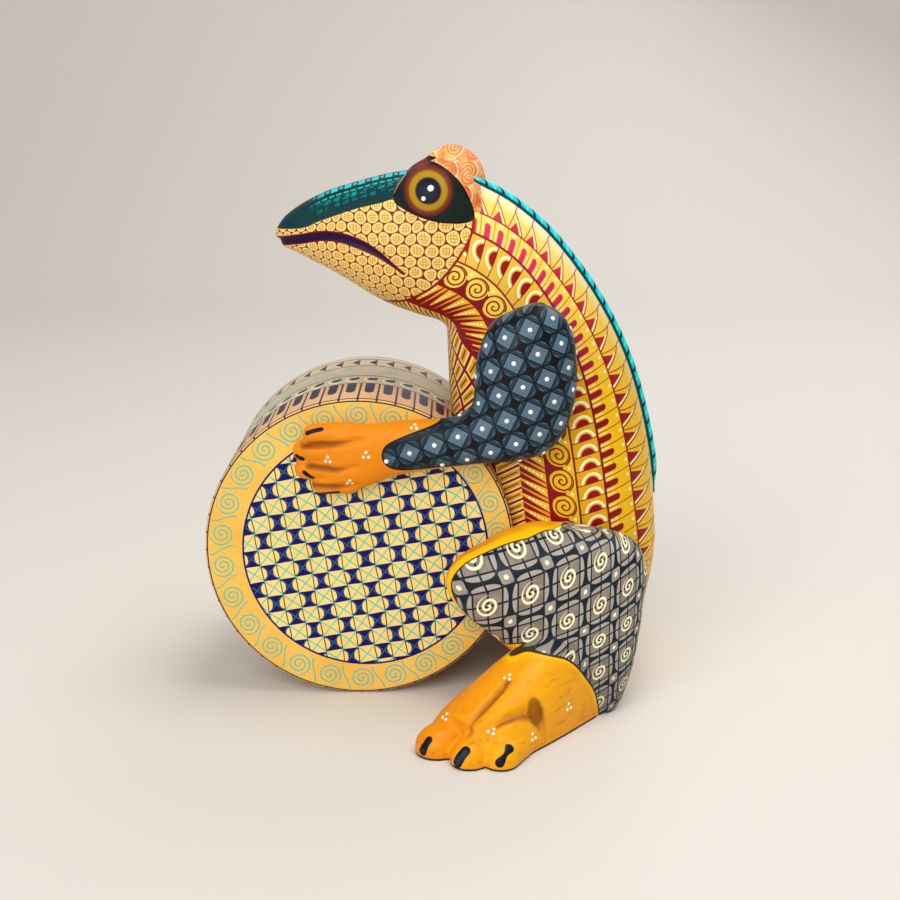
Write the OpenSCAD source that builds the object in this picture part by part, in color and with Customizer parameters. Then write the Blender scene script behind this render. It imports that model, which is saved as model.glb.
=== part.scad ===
// A carved and painted wooden frog that squats and holds a drum across its belly.
// The frog faces -Y, its left side is +X, and it stands on Z = 0.
// Body, limbs and drum are separate carvings, glued together on hidden dowel pegs.

/* [Drum] */
// Diameter of the drum
drum_d = 124; // [118:1:124]
// Length of the drum between its two painted ends
drum_len = 85; // [80:1:88]
// Rounding of the drum's rims
rim_round = 1.2; // [0.4:0.2:2.4]

/* [Body] */
// Half width of the torso at the hips
hip_half_width = 40; // [37:1:42]
// Half width of the torso at the shoulders
shoulder_half_width = 36; // [33:1:38]
// Half width of the head through the cheeks
cheek_half_width = 28; // [26:1:30]
// Distance of each eye mound from the middle of the head
eye_spread = 15; // [13:1:16]

/* [Limbs] */
// Distance from the middle of the figure to the outside of the upper arms
arm_reach = 59; // [57:1:62]
// Distance from the middle of the figure to the outside of the thighs
thigh_reach = 65; // [63:1:67]
// How much further the right arm swings down than the left
right_arm_swing = 20; // [16:1:24]
// Angle at which the feet turn out
foot_splay = 42; // [39:1:45]

/* [Pegs] */
// Diameter of the peg holes
bore_d = 5; // [4:0.5:6]
// Room for glue all round a peg
glue_gap = 0.05; // [0.02:0.01:0.1]

/* [Carving] */
// Points round each carved section
section_points = 28; // [20:4:32]
// Sections cut between two stations
section_steps = 4; // [2:1:5]

/* [Hidden] */

drum_r = drum_d / 2;
drum_y = -31;
round_fn = 96;
peg_fn = 48;
peg_end_play = 1;
mound_fn = 20;
toe_fn = 12;

// Pegs: [y, z, inner x, outer x] for those across the figure, and z for those into the drum
shoulder_peg_at = [34, 140, 22, 48];
hip_peg_front_at = [50, 58, 26, 54];
hip_peg_rear_at = [70, 46, 26, 54];
drum_peg_upper_z = 78;
drum_peg_lower_z = 48;
drum_peg_y = [16, 44];

hip_w = hip_half_width;
shoulder_w = shoulder_half_width;
cheek_w = cheek_half_width;

// Torso and head, from the tail up the back and over to the snout.
// Each station is [back y, back z, front y, front z, half width, squareness].
torso_stations = [
    [70, 5, 50, 5, 14, 2.2],
    [77, 8, 40, 8, 0.70 * hip_w, 2.2],
    [84.5, 18, 30, 14, 0.88 * hip_w, 2.3],
    [90, 36, 20, 32, 0.97 * hip_w, 2.4],
    [92.4, 57, 12, 56, hip_w, 2.5],
    [93, 80, 8, 84, 0.98 * hip_w, 2.5],
    [88.5, 106, 5.5, 108, 0.5 * (hip_w + shoulder_w), 2.5],
    [80, 133, 4.5, 128, shoulder_w, 2.5],
    [67, 158.5, 4, 140, 0.95 * shoulder_w, 2.4],
    [50, 181.5, 3.5, 146, 0.88 * shoulder_w, 2.3],
    [34, 196, 0, 148.7, 0.84 * shoulder_w, 2.3],
    [19, 204.5, -7.5, 150.8, cheek_w + 0.5, 2.3],
    [5, 208, -17.5, 154.3, cheek_w, 2.3],
    [-8, 209, -27, 159, 0.93 * cheek_w, 2.3],
    [-20, 207.4, -36, 164.5, 0.8 * cheek_w, 2.2],
    [-32, 204.4, -44.5, 169.3, 0.63 * cheek_w, 2.2],
    [-44, 200.8, -52, 173, 0.47 * cheek_w, 2.1],
    [-54, 196, -58, 176.2, 0.34 * cheek_w, 2.0],
    [-61.5, 190.8, -63, 178.5, 0.22 * cheek_w, 2.0],
    [-65.5, 185.5, -65.8, 181.5, 0.08 * cheek_w, 2.0]
];

// Eggs of the eye mounds: centre y and z, and half sizes across, along and up.
// The head turns a little, so the left mound lies lower and further forward.
left_mound_eggs = [
    [0, 197.5, 13.5, 17, 15.5],
    [2.5, 199.5, 12.5, 13, 15.5]
];
right_mound_eggs = [
    [2, 198, 13.5, 18, 15.5],
    [5.5, 201, 12.5, 14.5, 17.2]
];

// Arm, from the shoulder down to the elbow and forward to the hand.
// Each station is [outer y, outer z, inner y, inner z, inner x, outer x, squareness].
arm_out = arm_reach;
arm_stations = [
    [41, 162.2, 36, 162, arm_out - 17, arm_out - 8, 2.0],
    [48, 157.8, 28.5, 158.8, arm_out - 24, arm_out - 3.5, 2.1],
    [52.5, 149.5, 20.5, 153.5, 31, arm_out - 1, 2.2],
    [54, 138, 15.5, 140.5, 31, arm_out, 2.3],
    [53.5, 125, 14.5, 129.2, 32, arm_out, 2.3],
    [50, 113, 14, 123.6, 33, arm_out, 2.3],
    [43, 104.5, 12, 120.8, 34, arm_out, 2.3],
    [31, 101, 7, 118.2, 37, arm_out - 0.5, 2.3],
    [17, 100, 0, 117.2, 39, arm_out - 1.5, 2.3],
    [3, 98, -7, 116.9, 40, arm_out - 3, 2.2],
    [-10, 95.8, -15, 116.2, 40, arm_out - 4.5, 2.2],
    [-20, 93.5, -23, 115.2, 40, arm_out - 5.5, 2.2]
];

// Palm, from the wrist to the roots of the fingers, in the same form as the arm
palm_stations = [
    [-14, 95.8, -15, 115, 40, arm_out - 6, 2.2],
    [-22, 92.3, -22, 115, 40, arm_out - 5.5, 2.3],
    [-31, 89, -31, 114.8, 40, arm_out - 5.5, 2.4],
    [-39, 88, -40, 114, 40, arm_out - 6.5, 2.4],
    [-44, 89, -45, 112.8, 40, arm_out - 9, 2.3]
];

// Fingers, each [root y, root z, tip y, tip z, radius]
fingers = [
    [-34, 110.8, -48, 110.8, 4.2],
    [-36, 104.2, -52, 104.4, 4.4],
    [-36, 97.6, -51.5, 97.2, 4.4],
    [-34, 91.8, -45, 90.8, 4.2]
];
finger_x = 47;

// Folded leg, stacked from the sole to the top of the thigh.
// Each station is [back y, z, front y, z, inner x, outer x, squareness].
thigh_out = thigh_reach;
leg_stations = [
    [69, -4, 46, -4, 46, thigh_out - 2, 2.3],
    [74, 4, 44, 4, 44, thigh_out, 2.3],
    [77, 13, 39.5, 13, 42, thigh_out + 0.5, 2.4],
    [79.3, 22, 31.5, 22, 40, thigh_out + 0.5, 2.4],
    [80.8, 31, 20.5, 31, 38, thigh_out, 2.3],
    [81.8, 39, 10.5, 39, 37, thigh_out, 2.3],
    [82.6, 47, 4.5, 47, 36, thigh_out, 2.3],
    [83.2, 54.5, 3.8, 54.5, 36, thigh_out, 2.3],
    [82, 61.5, 9, 61.5, 36, thigh_out - 1, 2.3],
    [78.5, 67.5, 18.5, 67, 36, thigh_out - 3, 2.3],
    [72.5, 70.5, 26.5, 71.5, 38, thigh_out - 7, 2.2],
    [62.5, 72.5, 36, 75, 42, thigh_out - 12, 2.0]
];

// Foot, along its own length from the heel: [distance, half width, height]
heel_at = [53.5, 55.5];
foot_stations = [
    [-12, 6, 14],
    [-8, 9.5, 22],
    [0, 13.5, 29],
    [14, 16, 33],
    [28, 18, 31],
    [42, 19.5, 24],
    [54, 20, 17.5],
    [63, 17, 13.5]
];
foot_squareness = 2.3;

// Toes: [sideways place and distance of the root, the same of the tip, radius],
// from the inner toe to the outer one
toes = [
    [8, 42, 6, 77.3, 8.5],
    [-3.5, 44, -9, 73.5, 7.4],
    [-12, 40, -17.5, 65, 6.8]
];

function sum_to(v, i) = i < 0 ? 0 : v[i] + sum_to(v, i - 1);

// A smooth curve through four rows of numbers, from the second to the third
function blend(a, b, c, d, t) =
    0.5 * (2 * b + (c - a) * t + (2 * a - 5 * b + 4 * c - d) * t * t
    + (3 * b - a - 3 * c + d) * t * t * t);

function smooth_rows(rows, steps) = [
    for (i = [0 : len(rows) - 2], k = [0 : steps - 1])
        blend(
            rows[max(i - 1, 0)], rows[i], rows[i + 1],
            rows[min(i + 2, len(rows) - 1)], k / steps
        ),
    rows[len(rows) - 1]
];

function swell(v, squareness) = sign(v) * pow(abs(v), 2 / squareness);

// A closed section between two edge points in the YZ plane and two X values
function section(a, b, x_in, x_out, squareness) = [
    for (i = [0 : section_points - 1])
        let (turn = 360 * i / section_points)
        let (across = swell(sin(turn), squareness), along = swell(cos(turn), squareness))
        [
            (x_in + x_out) / 2 + (x_out - x_in) / 2 * across,
            (a[0] + b[0]) / 2 + (a[0] - b[0]) / 2 * along,
            (a[1] + b[1]) / 2 + (a[1] - b[1]) / 2 * along
        ]
];

function limb_sections(rows) = [
    for (r = smooth_rows(rows, section_steps))
        section([r[0], r[1]], [r[2], r[3]], r[4], r[5], r[6])
];

function torso_sections() = [
    for (r = smooth_rows(torso_stations, section_steps))
        section([r[0], r[1]], [r[2], r[3]], -r[4], r[4], r[5])
];

// The foot's sections stand across its length, and reach below the floor
function foot_section(r) = [
    for (i = [0 : section_points - 1])
        let (turn = 360 * i / section_points)
        let (side = r[1] * swell(cos(turn), foot_squareness))
        let (rise = (sin(turn) > 0 ? r[2] : 4) * swell(sin(turn), foot_squareness))
        [side, r[0], rise]
];

function middle(ring) =
    [for (c = [0 : 2]) sum_to([for (p = ring) p[c]], len(ring) - 1) / len(ring)];

// Do a row's sections turn clockwise as seen from its first one?
function turns_clockwise(rings) =
    let (j = floor(len(rings) / 2), c = middle(rings[j]), quarter = floor(len(rings[j]) / 4))
    let (facing = cross(rings[j][0] - c, rings[j][quarter] - c))
    facing * (middle(rings[j + 1]) - middle(rings[j - 1])) > 0;

function turned(face, over) = over ? [face[2], face[1], face[0]] : face;

// A closed skin over a row of sections
module skin(rings) {
    n = len(rings[0]);
    m = len(rings);
    points = concat(
        [for (ring = rings, p = ring) p],
        [middle(rings[0]), middle(rings[m - 1])]
    );
    sides = [
        for (j = [0 : m - 2], i = [0 : n - 1], half = [0, 1])
            let (k = (i + 1) % n)
            half == 0
                ? [j * n + i, (j + 1) * n + i, j * n + k]
                : [j * n + k, (j + 1) * n + i, (j + 1) * n + k]
    ];
    first_end = [for (i = [0 : n - 1]) [m * n, i, (i + 1) % n]];
    last_end = [for (i = [0 : n - 1])
        [m * n + 1, (m - 1) * n + (i + 1) % n, (m - 1) * n + i]];
    over = !turns_clockwise(rings);
    faces = [for (f = concat(sides, first_end, last_end)) turned(f, over)];
    polyhedron(points, faces, convexity = 6);
}

// Carves a limb and what is cut away from it as one closed surface
module one_carving() resize([0, 0, 0]) children();

module across_peg(at, d, shorten = 0) {
    translate([at[2] + shorten, at[0], at[1]])
        rotate([0, 90, 0])
            cylinder(d = d, h = at[3] - at[2] - 2 * shorten, $fn = peg_fn);
}

module drum_peg(z, d, shorten = 0) {
    translate([0, drum_peg_y[0] + shorten, z])
        rotate([-90, 0, 0])
            cylinder(d = d, h = drum_peg_y[1] - drum_peg_y[0] - 2 * shorten, $fn = peg_fn);
}

module peg_colour() color("burlywood") children();

module across_dowel(at) peg_colour() across_peg(at, bore_d - 2 * glue_gap, peg_end_play);

module drum_dowel(z) peg_colour() drum_peg(z, bore_d - 2 * glue_gap, peg_end_play);

module hip_bores() {
    across_peg(hip_peg_front_at, bore_d);
    across_peg(hip_peg_rear_at, bore_d);
}

module drum_bores() {
    drum_peg(drum_peg_upper_z, bore_d);
    drum_peg(drum_peg_lower_z, bore_d);
}

// Each eye mound is a low wide egg with a taller, narrower one on it
module eye_mound(eggs) {
    for (egg = eggs)
        translate([eye_spread, egg[0], egg[1]])
            rotate([-6, 0, 0])
                scale([egg[2], egg[3], egg[4]])
                    sphere(r = 1, $fn = mound_fn);
}

module torso_form() skin(torso_sections());

module drum_form() {
    translate([-drum_len / 2, drum_y, drum_r])
        rotate([0, 90, 0])
            cylinder(r = drum_r, h = drum_len, $fn = round_fn);
}

module arm_form() {
    skin(limb_sections(arm_stations));
    skin(limb_sections(palm_stations));
    for (f = fingers)
        hull() {
            translate([finger_x - 1, f[0], f[1]]) sphere(r = f[4] + 0.8, $fn = toe_fn);
            translate([finger_x - 0.5, f[2], f[3]]) sphere(r = f[4], $fn = toe_fn);
        }
}

module left_foot_form() {
    translate([heel_at[0], heel_at[1], 0])
        rotate([0, 0, foot_splay - 180]) {
            skin([for (r = smooth_rows(foot_stations, 3)) foot_section(r)]);
            for (t = toes)
                hull() {
                    translate([t[0], t[1], 4]) sphere(r = t[4], $fn = toe_fn);
                    translate([t[2], t[3] - t[4], 2]) sphere(r = t[4], $fn = toe_fn);
                }
        }
}

module left_leg_form() {
    skin(limb_sections(leg_stations));
    left_foot_form();
}

module below_floor() translate([-200, -200, -50]) cube([400, 400, 50]);

module body() color("goldenrod") {
    difference() {
        one_carving() union() {
            torso_form();
            eye_mound(left_mound_eggs);
            mirror([1, 0, 0]) eye_mound(right_mound_eggs);
        }
        drum_form();
        drum_bores();
        for (side = [0, 1])
            mirror([side, 0, 0]) {
                across_peg(shoulder_peg_at, bore_d);
                hip_bores();
            }
    }
}

module drum() color("darkblue") {
    difference() {
        translate([-drum_len / 2, drum_y, drum_r])
            rotate([0, 90, 0])
                rotate_extrude($fn = round_fn)
                    polygon(concat(
                        [[0, 0]],
                        [for (a = [0 : 30 : 90])
                            [drum_r - rim_round + rim_round * sin(a),
                             rim_round - rim_round * cos(a)]],
                        [for (a = [90 : 30 : 180])
                            [drum_r - rim_round + rim_round * sin(a),
                             drum_len - rim_round - rim_round * cos(a)]],
                        [[0, drum_len]]
                    ));
        drum_bores();
    }
}

// Turns an arm down about its shoulder peg
module swung(angle) {
    translate([0, shoulder_peg_at[0], shoulder_peg_at[1]])
        rotate([angle, 0, 0])
            translate([0, -shoulder_peg_at[0], -shoulder_peg_at[1]])
                children();
}

// An arm, carved to lie against the body's side and the drum's end
module arm(side, swing) color("darkslategray") {
    difference() {
        one_carving() difference() {
            mirror([side, 0, 0]) swung(swing) arm_form();
            torso_form();
        }
        drum_form();
        mirror([side, 0, 0]) across_peg(shoulder_peg_at, bore_d);
    }
}

module left_arm() arm(0, 0);
module right_arm() arm(1, right_arm_swing);

module left_leg() color("dimgray") {
    difference() {
        one_carving() difference() {
            left_leg_form();
            torso_form();
        }
        drum_form();
        below_floor();
        hip_bores();
    }
}

module right_leg() mirror([1, 0, 0]) left_leg();

module left_shoulder_peg() across_dowel(shoulder_peg_at);
module right_shoulder_peg() mirror([1, 0, 0]) left_shoulder_peg();
module left_hip_peg_front() across_dowel(hip_peg_front_at);
module left_hip_peg_rear() across_dowel(hip_peg_rear_at);
module right_hip_peg_front() mirror([1, 0, 0]) left_hip_peg_front();
module right_hip_peg_rear() mirror([1, 0, 0]) left_hip_peg_rear();
module drum_peg_upper() drum_dowel(drum_peg_upper_z);
module drum_peg_lower() drum_dowel(drum_peg_lower_z);

body();
drum();
left_arm();
right_arm();
left_leg();
right_leg();
left_shoulder_peg();
right_shoulder_peg();
left_hip_peg_front();
left_hip_peg_rear();
right_hip_peg_front();
right_hip_peg_rear();
drum_peg_upper();
drum_peg_lower();
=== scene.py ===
"""A carved and painted wooden frog that hugs a drum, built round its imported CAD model."""
import math

import bmesh
import bpy
import numpy as np
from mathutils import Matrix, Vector


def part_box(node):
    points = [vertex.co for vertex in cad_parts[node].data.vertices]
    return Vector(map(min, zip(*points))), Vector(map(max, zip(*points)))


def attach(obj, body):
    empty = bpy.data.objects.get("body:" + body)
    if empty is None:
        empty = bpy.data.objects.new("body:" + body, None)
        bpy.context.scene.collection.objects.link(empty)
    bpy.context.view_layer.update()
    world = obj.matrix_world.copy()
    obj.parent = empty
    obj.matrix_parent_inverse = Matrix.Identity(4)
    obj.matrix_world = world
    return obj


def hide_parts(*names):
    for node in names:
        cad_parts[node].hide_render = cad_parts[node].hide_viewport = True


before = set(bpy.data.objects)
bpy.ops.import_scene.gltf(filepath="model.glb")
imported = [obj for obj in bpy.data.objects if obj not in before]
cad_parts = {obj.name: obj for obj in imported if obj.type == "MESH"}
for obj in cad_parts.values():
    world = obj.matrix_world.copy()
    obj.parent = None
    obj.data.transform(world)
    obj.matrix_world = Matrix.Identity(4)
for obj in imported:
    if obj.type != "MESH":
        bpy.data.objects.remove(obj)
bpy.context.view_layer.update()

MM = 0.001
BODY = "root"
TAU = math.tau
# Pieces are cut more coarsely while the script is being tried out
FINE = 1.0

# --- Design, in millimetres: the stations of the CAD source, cut more finely ---

DRUM_LOW, DRUM_HIGH = (np.array(corner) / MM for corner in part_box("drum"))
DRUM_RADIUS = (DRUM_HIGH[2] - DRUM_LOW[2]) / 2
DRUM_END = DRUM_HIGH[0]
DRUM_Y = (DRUM_LOW[1] + DRUM_HIGH[1]) / 2
DRUM_Z = (DRUM_LOW[2] + DRUM_HIGH[2]) / 2
HIP_WIDTH = 40.0
SHOULDER_WIDTH = 36.0
CHEEK_WIDTH = 28.0
ARM_OUT = 59.0
THIGH_OUT = 65.0
SHOULDER = (34.0, 140.0)
RIGHT_ARM_SWING = math.radians(20)
FOOT_SPLAY = math.radians(42)
HEEL = (53.5, 55.5)
EYE_MOUND_TILT = math.radians(-6)
SPINE_STEPS = 14
RIDGE_SUNK = 3.4
CREST = 1.3
STRIP_HALF_WIDTH = 2.2
STRIP_HALF_HEIGHT = 2.3
STRIP_POINTS = 20
DRUM_PLAY = 0.05

# Torso and head, tail to snout: back y, back z, front y, front z, half width, squareness
TORSO = [
    (70, 5, 50, 5, 14, 2.2),
    (77, 8, 40, 8, 0.70 * HIP_WIDTH, 2.2),
    (84.5, 18, 30, 14, 0.88 * HIP_WIDTH, 2.3),
    (90, 36, 20, 32, 0.97 * HIP_WIDTH, 2.4),
    (92.4, 57, 12, 56, HIP_WIDTH, 2.5),
    (93, 80, 8, 84, 0.98 * HIP_WIDTH, 2.5),
    (88.5, 106, 5.5, 108, (HIP_WIDTH + SHOULDER_WIDTH) / 2, 2.5),
    (80, 133, 4.5, 128, SHOULDER_WIDTH, 2.5),
    (67, 158.5, 4, 140, 0.95 * SHOULDER_WIDTH, 2.4),
    (50, 181.5, 3.5, 146, 0.88 * SHOULDER_WIDTH, 2.3),
    (34, 196, 0, 148.7, 0.84 * SHOULDER_WIDTH, 2.3),
    (19, 204.5, -7.5, 150.8, CHEEK_WIDTH + 0.5, 2.3),
    (5, 208, -17.5, 154.3, CHEEK_WIDTH, 2.3),
    (-8, 209, -27, 159, 0.93 * CHEEK_WIDTH, 2.3),
    (-20, 207.4, -36, 164.5, 0.8 * CHEEK_WIDTH, 2.2),
    (-32, 204.4, -44.5, 169.3, 0.63 * CHEEK_WIDTH, 2.2),
    (-44, 200.8, -52, 173, 0.47 * CHEEK_WIDTH, 2.1),
    (-54, 196, -58, 176.2, 0.34 * CHEEK_WIDTH, 2.0),
    (-61.5, 190.8, -63, 178.5, 0.22 * CHEEK_WIDTH, 2.0),
    (-65.5, 185.5, -65.8, 181.5, 0.08 * CHEEK_WIDTH, 2.0),
]

# Eye mounds: centre and half sizes of a low wide egg, and of a taller one on it.
# The head turns a little, so the left mound lies lower and further forward.
LEFT_MOUND = [
    ((15.0, 0.0, 197.5), (13.5, 17.0, 15.5)),
    ((15.0, 2.5, 199.5), (12.5, 13.0, 15.5)),
]
RIGHT_MOUND = [
    ((15.0, 2.0, 198.0), (13.5, 18.0, 15.5)),
    ((15.0, 5.5, 201.0), (12.5, 14.5, 17.2)),
]

# Arm, shoulder to wrist: outer y, outer z, inner y, inner z, inner x, outer x, squareness
ARM = [
    (41, 162.2, 36, 162, ARM_OUT - 17, ARM_OUT - 8, 2.0),
    (48, 157.8, 28.5, 158.8, ARM_OUT - 24, ARM_OUT - 3.5, 2.1),
    (52.5, 149.5, 20.5, 153.5, 31, ARM_OUT - 1, 2.2),
    (54, 138, 15.5, 140.5, 31, ARM_OUT, 2.3),
    (53.5, 125, 14.5, 129.2, 32, ARM_OUT, 2.3),
    (50, 113, 14, 123.6, 33, ARM_OUT, 2.3),
    (43, 104.5, 12, 120.8, 34, ARM_OUT, 2.3),
    (31, 101, 7, 118.2, 37, ARM_OUT - 0.5, 2.3),
    (17, 100, 0, 117.2, 39, ARM_OUT - 1.5, 2.3),
    (3, 98, -7, 116.9, 40, ARM_OUT - 3, 2.2),
    (-10, 95.8, -15, 116.2, 40, ARM_OUT - 4.5, 2.2),
    (-20, 93.5, -23, 115.2, 40, ARM_OUT - 5.5, 2.2),
]
PALM = [
    (-14, 95.8, -15, 115, 40, ARM_OUT - 6, 2.2),
    (-22, 92.3, -22, 115, 40, ARM_OUT - 5.5, 2.3),
    (-31, 89, -31, 114.8, 40, ARM_OUT - 5.5, 2.4),
    (-39, 88, -40, 114, 40, ARM_OUT - 6.5, 2.4),
    (-44, 89, -45, 112.8, 40, ARM_OUT - 9, 2.3),
]
# Fingers: root y, root z, tip y, tip z, radius
FINGERS = [
    (-34, 110.8, -48, 110.8, 4.2),
    (-36, 104.2, -52, 104.4, 4.4),
    (-36, 97.6, -51.5, 97.2, 4.4),
    (-34, 91.8, -45, 90.8, 4.2),
]
FINGER_X = 46.5

# Folded leg, sole to top: back y, z, front y, z, inner x, outer x, squareness
LEG = [
    (69, -4, 46, -4, 46, THIGH_OUT - 2, 2.3),
    (74, 4, 44, 4, 44, THIGH_OUT, 2.3),
    (77, 13, 39.5, 13, 42, THIGH_OUT + 0.5, 2.4),
    (79.3, 22, 31.5, 22, 40, THIGH_OUT + 0.5, 2.4),
    (80.8, 31, 20.5, 31, 38, THIGH_OUT, 2.3),
    (81.8, 39, 10.5, 39, 37, THIGH_OUT, 2.3),
    (82.6, 47, 4.5, 47, 36, THIGH_OUT, 2.3),
    (83.2, 54.5, 3.8, 54.5, 36, THIGH_OUT, 2.3),
    (82, 61.5, 9, 61.5, 36, THIGH_OUT - 1, 2.3),
    (78.5, 67.5, 18.5, 67, 36, THIGH_OUT - 3, 2.3),
    (72.5, 70.5, 26.5, 71.5, 38, THIGH_OUT - 7, 2.2),
    (62.5, 72.5, 36, 75, 42, THIGH_OUT - 12, 2.0),
]
# Foot, heel to toes: distance, half width, height
FOOT = [
    (-12, 6, 14),
    (-8, 9.5, 22),
    (0, 13.5, 29),
    (14, 16, 33),
    (28, 18, 31),
    (42, 19.5, 24),
    (54, 20, 17.5),
    (63, 17, 13.5),
]
FOOT_SQUARENESS = 2.3
# Toes, inner to outer: sideways place and distance of the root, then of the tip, radius
TOES = [
    (8, 42, 6, 77.3, 8.5),
    (-3.5, 44, -9, 73.5, 7.4),
    (-12, 40, -17.5, 65, 6.8),
]

# Painted and carved outlines, as seen from the side: y, z
EYE = (-3.3, 202.8)
EYE_PATCH = [
    (-17, 200), (-9.5, 211), (-1, 213.3), (9, 206), (14.5, 194.5), (12, 190.5), (0, 190.8), (-12, 195),
]
HEAD_EDGE = [
    (11, 216), (12.5, 206), (14.5, 190.5), (10.5, 180), (1, 167.5), (-10, 160), (-19, 157.5), (-30, 157),
]
BEAK_EDGE = [(-72, 185.5), (-55, 186.5), (-46, 190), (-32, 195), (-17, 199.5), (-12, 207), (-10, 220)]
MOUTH = [(-68, 180), (-56, 182), (-45, 184), (-35, 183), (-24, 178.5), (-13, 170.5)]
SLATE_EDGE = [
    (43, 102), (24, 101), (4, 99.5), (-14, 98), (-20.5, 101.5), (-20, 107.5), (-12, 112), (1, 117),
    (9.5, 121), (11, 130), (6, 145), (14, 166), (34, 172), (56, 164), (66, 140), (60, 112),
]
SHANK_EDGE = [
    (3, 47), (12, 36.5), (24, 28.5), (36, 31.3), (47, 29), (53, 25.2), (58, 18.6), (62.5, 10), (64.5, -1),
    (65, -8),
]

# Grooves between the toes: sideways places and distances on the foot
TOE_GROOVES = [
    [(-4.4, 42), (-4.4, 50), (-4.8, 60), (-6, 72)],
    [(-17, 37), (-15, 46), (-12.5, 56), (-11, 68)],
]
# A knife mark at the root of the outer toe
NOTCH = (-16, 39.5)
# Nails, each between two points, with a radius
TOE_NAILS = [
    ((107.2, 26.7, 6.8), (111.0, 23.4, 3.4), 1.25),
    ((108.8, 10.9, 6.6), (110.4, 7.2, 2.4), 1.3),
    ((100.0, -2.4, 6.6), (101.0, -4.8, 3.0), 1.1),
]
FINGER_NAILS = [
    ((49.7, -50.3, 112.1), (49.6, -44.7, 113.7), 0.95),
    ((49.6, -54.5, 102.7), (49.9, -52.5, 101.9), 1.2),
    ((50.6, -51.6, 96.6), (49.6, -48.6, 94.1), 0.9),
    ((48.7, -45.9, 87.5), (49.4, -38.7, 88), 0.9),
]
# Grooves between the fingers, as seen from the side: y, z
FINGER_GROOVES = [
    [(-52, 107), (-44, 107.6), (-36, 108.8), (-25, 110.8)],
    [(-50, 99.2), (-44, 98.2), (-38, 98), (-28, 99.8)],
    [(-49, 91), (-39, 90.6), (-28, 91.6)],
]
# Middles of the groups of three dots
HAND_DOTS = [(51.2, -42.5, 101.8), (53.6, -27.1, 104.2), (51.8, -33.9, 92.9), (53.6, -8.8, 116.6)]
FOOT_DOTS = [(82.5, 27, 24.5), (90, 3.5, 11.5), (102, 20, 12), (96.5, 36, 6.5), (79.5, 51, 11)]
# Glints of an eye: y, z, radius
GLINTS = [(-1.9, 203.8, 1.35), (-5.0, 200.2, 0.95)]


# --- Smooth lines and measures ---

def smooth_rows(rows, steps):
    """Rows of numbers joined by a smooth curve through all of them."""
    rows = np.array(rows, float)
    last = len(rows) - 1
    out = []
    for i in range(last):
        a, b, c, d = rows[max(i - 1, 0)], rows[i], rows[i + 1], rows[min(i + 2, last)]
        for k in range(steps):
            t = k / steps
            bend = (2 * a - 5 * b + 4 * c - d) * t ** 2
            out.append(0.5 * (2 * b + (c - a) * t + bend + (3 * b - a - 3 * c + d) * t ** 3))
    out.append(rows[last])
    return np.array(out)


def smooth_loop(rows, steps=8):
    """The same for a closed line."""
    rows = list(rows)
    whole = smooth_rows([rows[-1], *rows, rows[0], rows[1]], steps)
    return whole[steps:-steps]


def line_distance(spots, line):
    """Distance of each spot from a line, positive on its right hand side, and how far along the line."""
    best = np.full(len(spots), 1e9)
    side = np.ones(len(spots))
    along = np.zeros(len(spots))
    lengths = np.linalg.norm(np.diff(line, axis=0), axis=1)
    start = 0.0
    for a, b, length in zip(line[:-1], line[1:], lengths):
        way = (b - a) / length
        offset = spots - a
        run = np.clip(offset @ way, 0, length)
        gap = np.linalg.norm(offset - run[:, None] * way, axis=1)
        closer = gap < best - 1e-9
        cross = offset[:, 0] * way[1] - offset[:, 1] * way[0]
        best = np.where(closer, gap, best)
        side = np.where(closer, np.sign(cross), side)
        along = np.where(closer, start + run, along)
        start += length
    return best * side, along / start


def ease(value, low, high):
    """From 0 at low to 1 at high, smoothly."""
    share = np.clip((value - low) / (high - low), 0, 1)
    return share * share * (3 - 2 * share)


# --- Forms ---

def swell(value, squareness):
    """A cosine or sine pushed out towards a square corner."""
    return np.sign(value) * np.abs(value) ** (2 / squareness)


def section(row, turns):
    """A closed section between two edge points in the YZ plane and two X values."""
    back, front = np.array(row[0:2]), np.array(row[2:4])
    across = swell(np.sin(turns), row[6])[:, None]
    along = swell(np.cos(turns), row[6])[:, None]
    x = (row[4] + row[5]) / 2 + (row[5] - row[4]) / 2 * across
    yz = (back + front) / 2 + (back - front) / 2 * along
    return np.hstack([x, yz])


def skin(rings):
    """Vertices and faces of a closed surface over a row of sections."""
    count, size = len(rings), len(rings[0])
    points = np.vstack([*rings, rings[0].mean(0), rings[-1].mean(0)])
    faces = []
    for j in range(count - 1):
        for i in range(size):
            k = (i + 1) % size
            faces.append((j * size + i, j * size + k, (j + 1) * size + k, (j + 1) * size + i))
    for i in range(size):
        k = (i + 1) % size
        faces.append((count * size, k, i))
        faces.append((count * size + 1, (count - 1) * size + i, (count - 1) * size + k))
    return points, faces


def turns(points):
    """Angles of a full turn."""
    return np.arange(points) * TAU / points


def limb_form(rows, steps=12, points=64):
    """A closed loft through rows of stations."""
    return skin([section(row, turns(points)) for row in smooth_rows(rows, steps)])


def ridge_part(station):
    """One where the back carries its raised ridge, nought at the tail and on the head."""
    return ease(station, 3.8, 5.2) * ease(-station, -11.9, -10.8)


def torso_rows(steps):
    """The torso's stations in the limbs' form, the back sunk a little to make room for its ridge."""
    rows = smooth_rows(TORSO, steps)
    inward = rows[:, 2:4] - rows[:, 0:2]
    inward = inward / np.linalg.norm(inward, axis=1)[:, None]
    rows[:, 0:2] += inward * (RIDGE_SUNK * ridge_part(np.arange(len(rows)) / steps))[:, None]
    return np.column_stack([rows[:, :4], -rows[:, 4], rows[:, 4], rows[:, 5]])


def torso_form():
    return skin([section(row, turns(120)) for row in torso_rows(SPINE_STEPS)])


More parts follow.
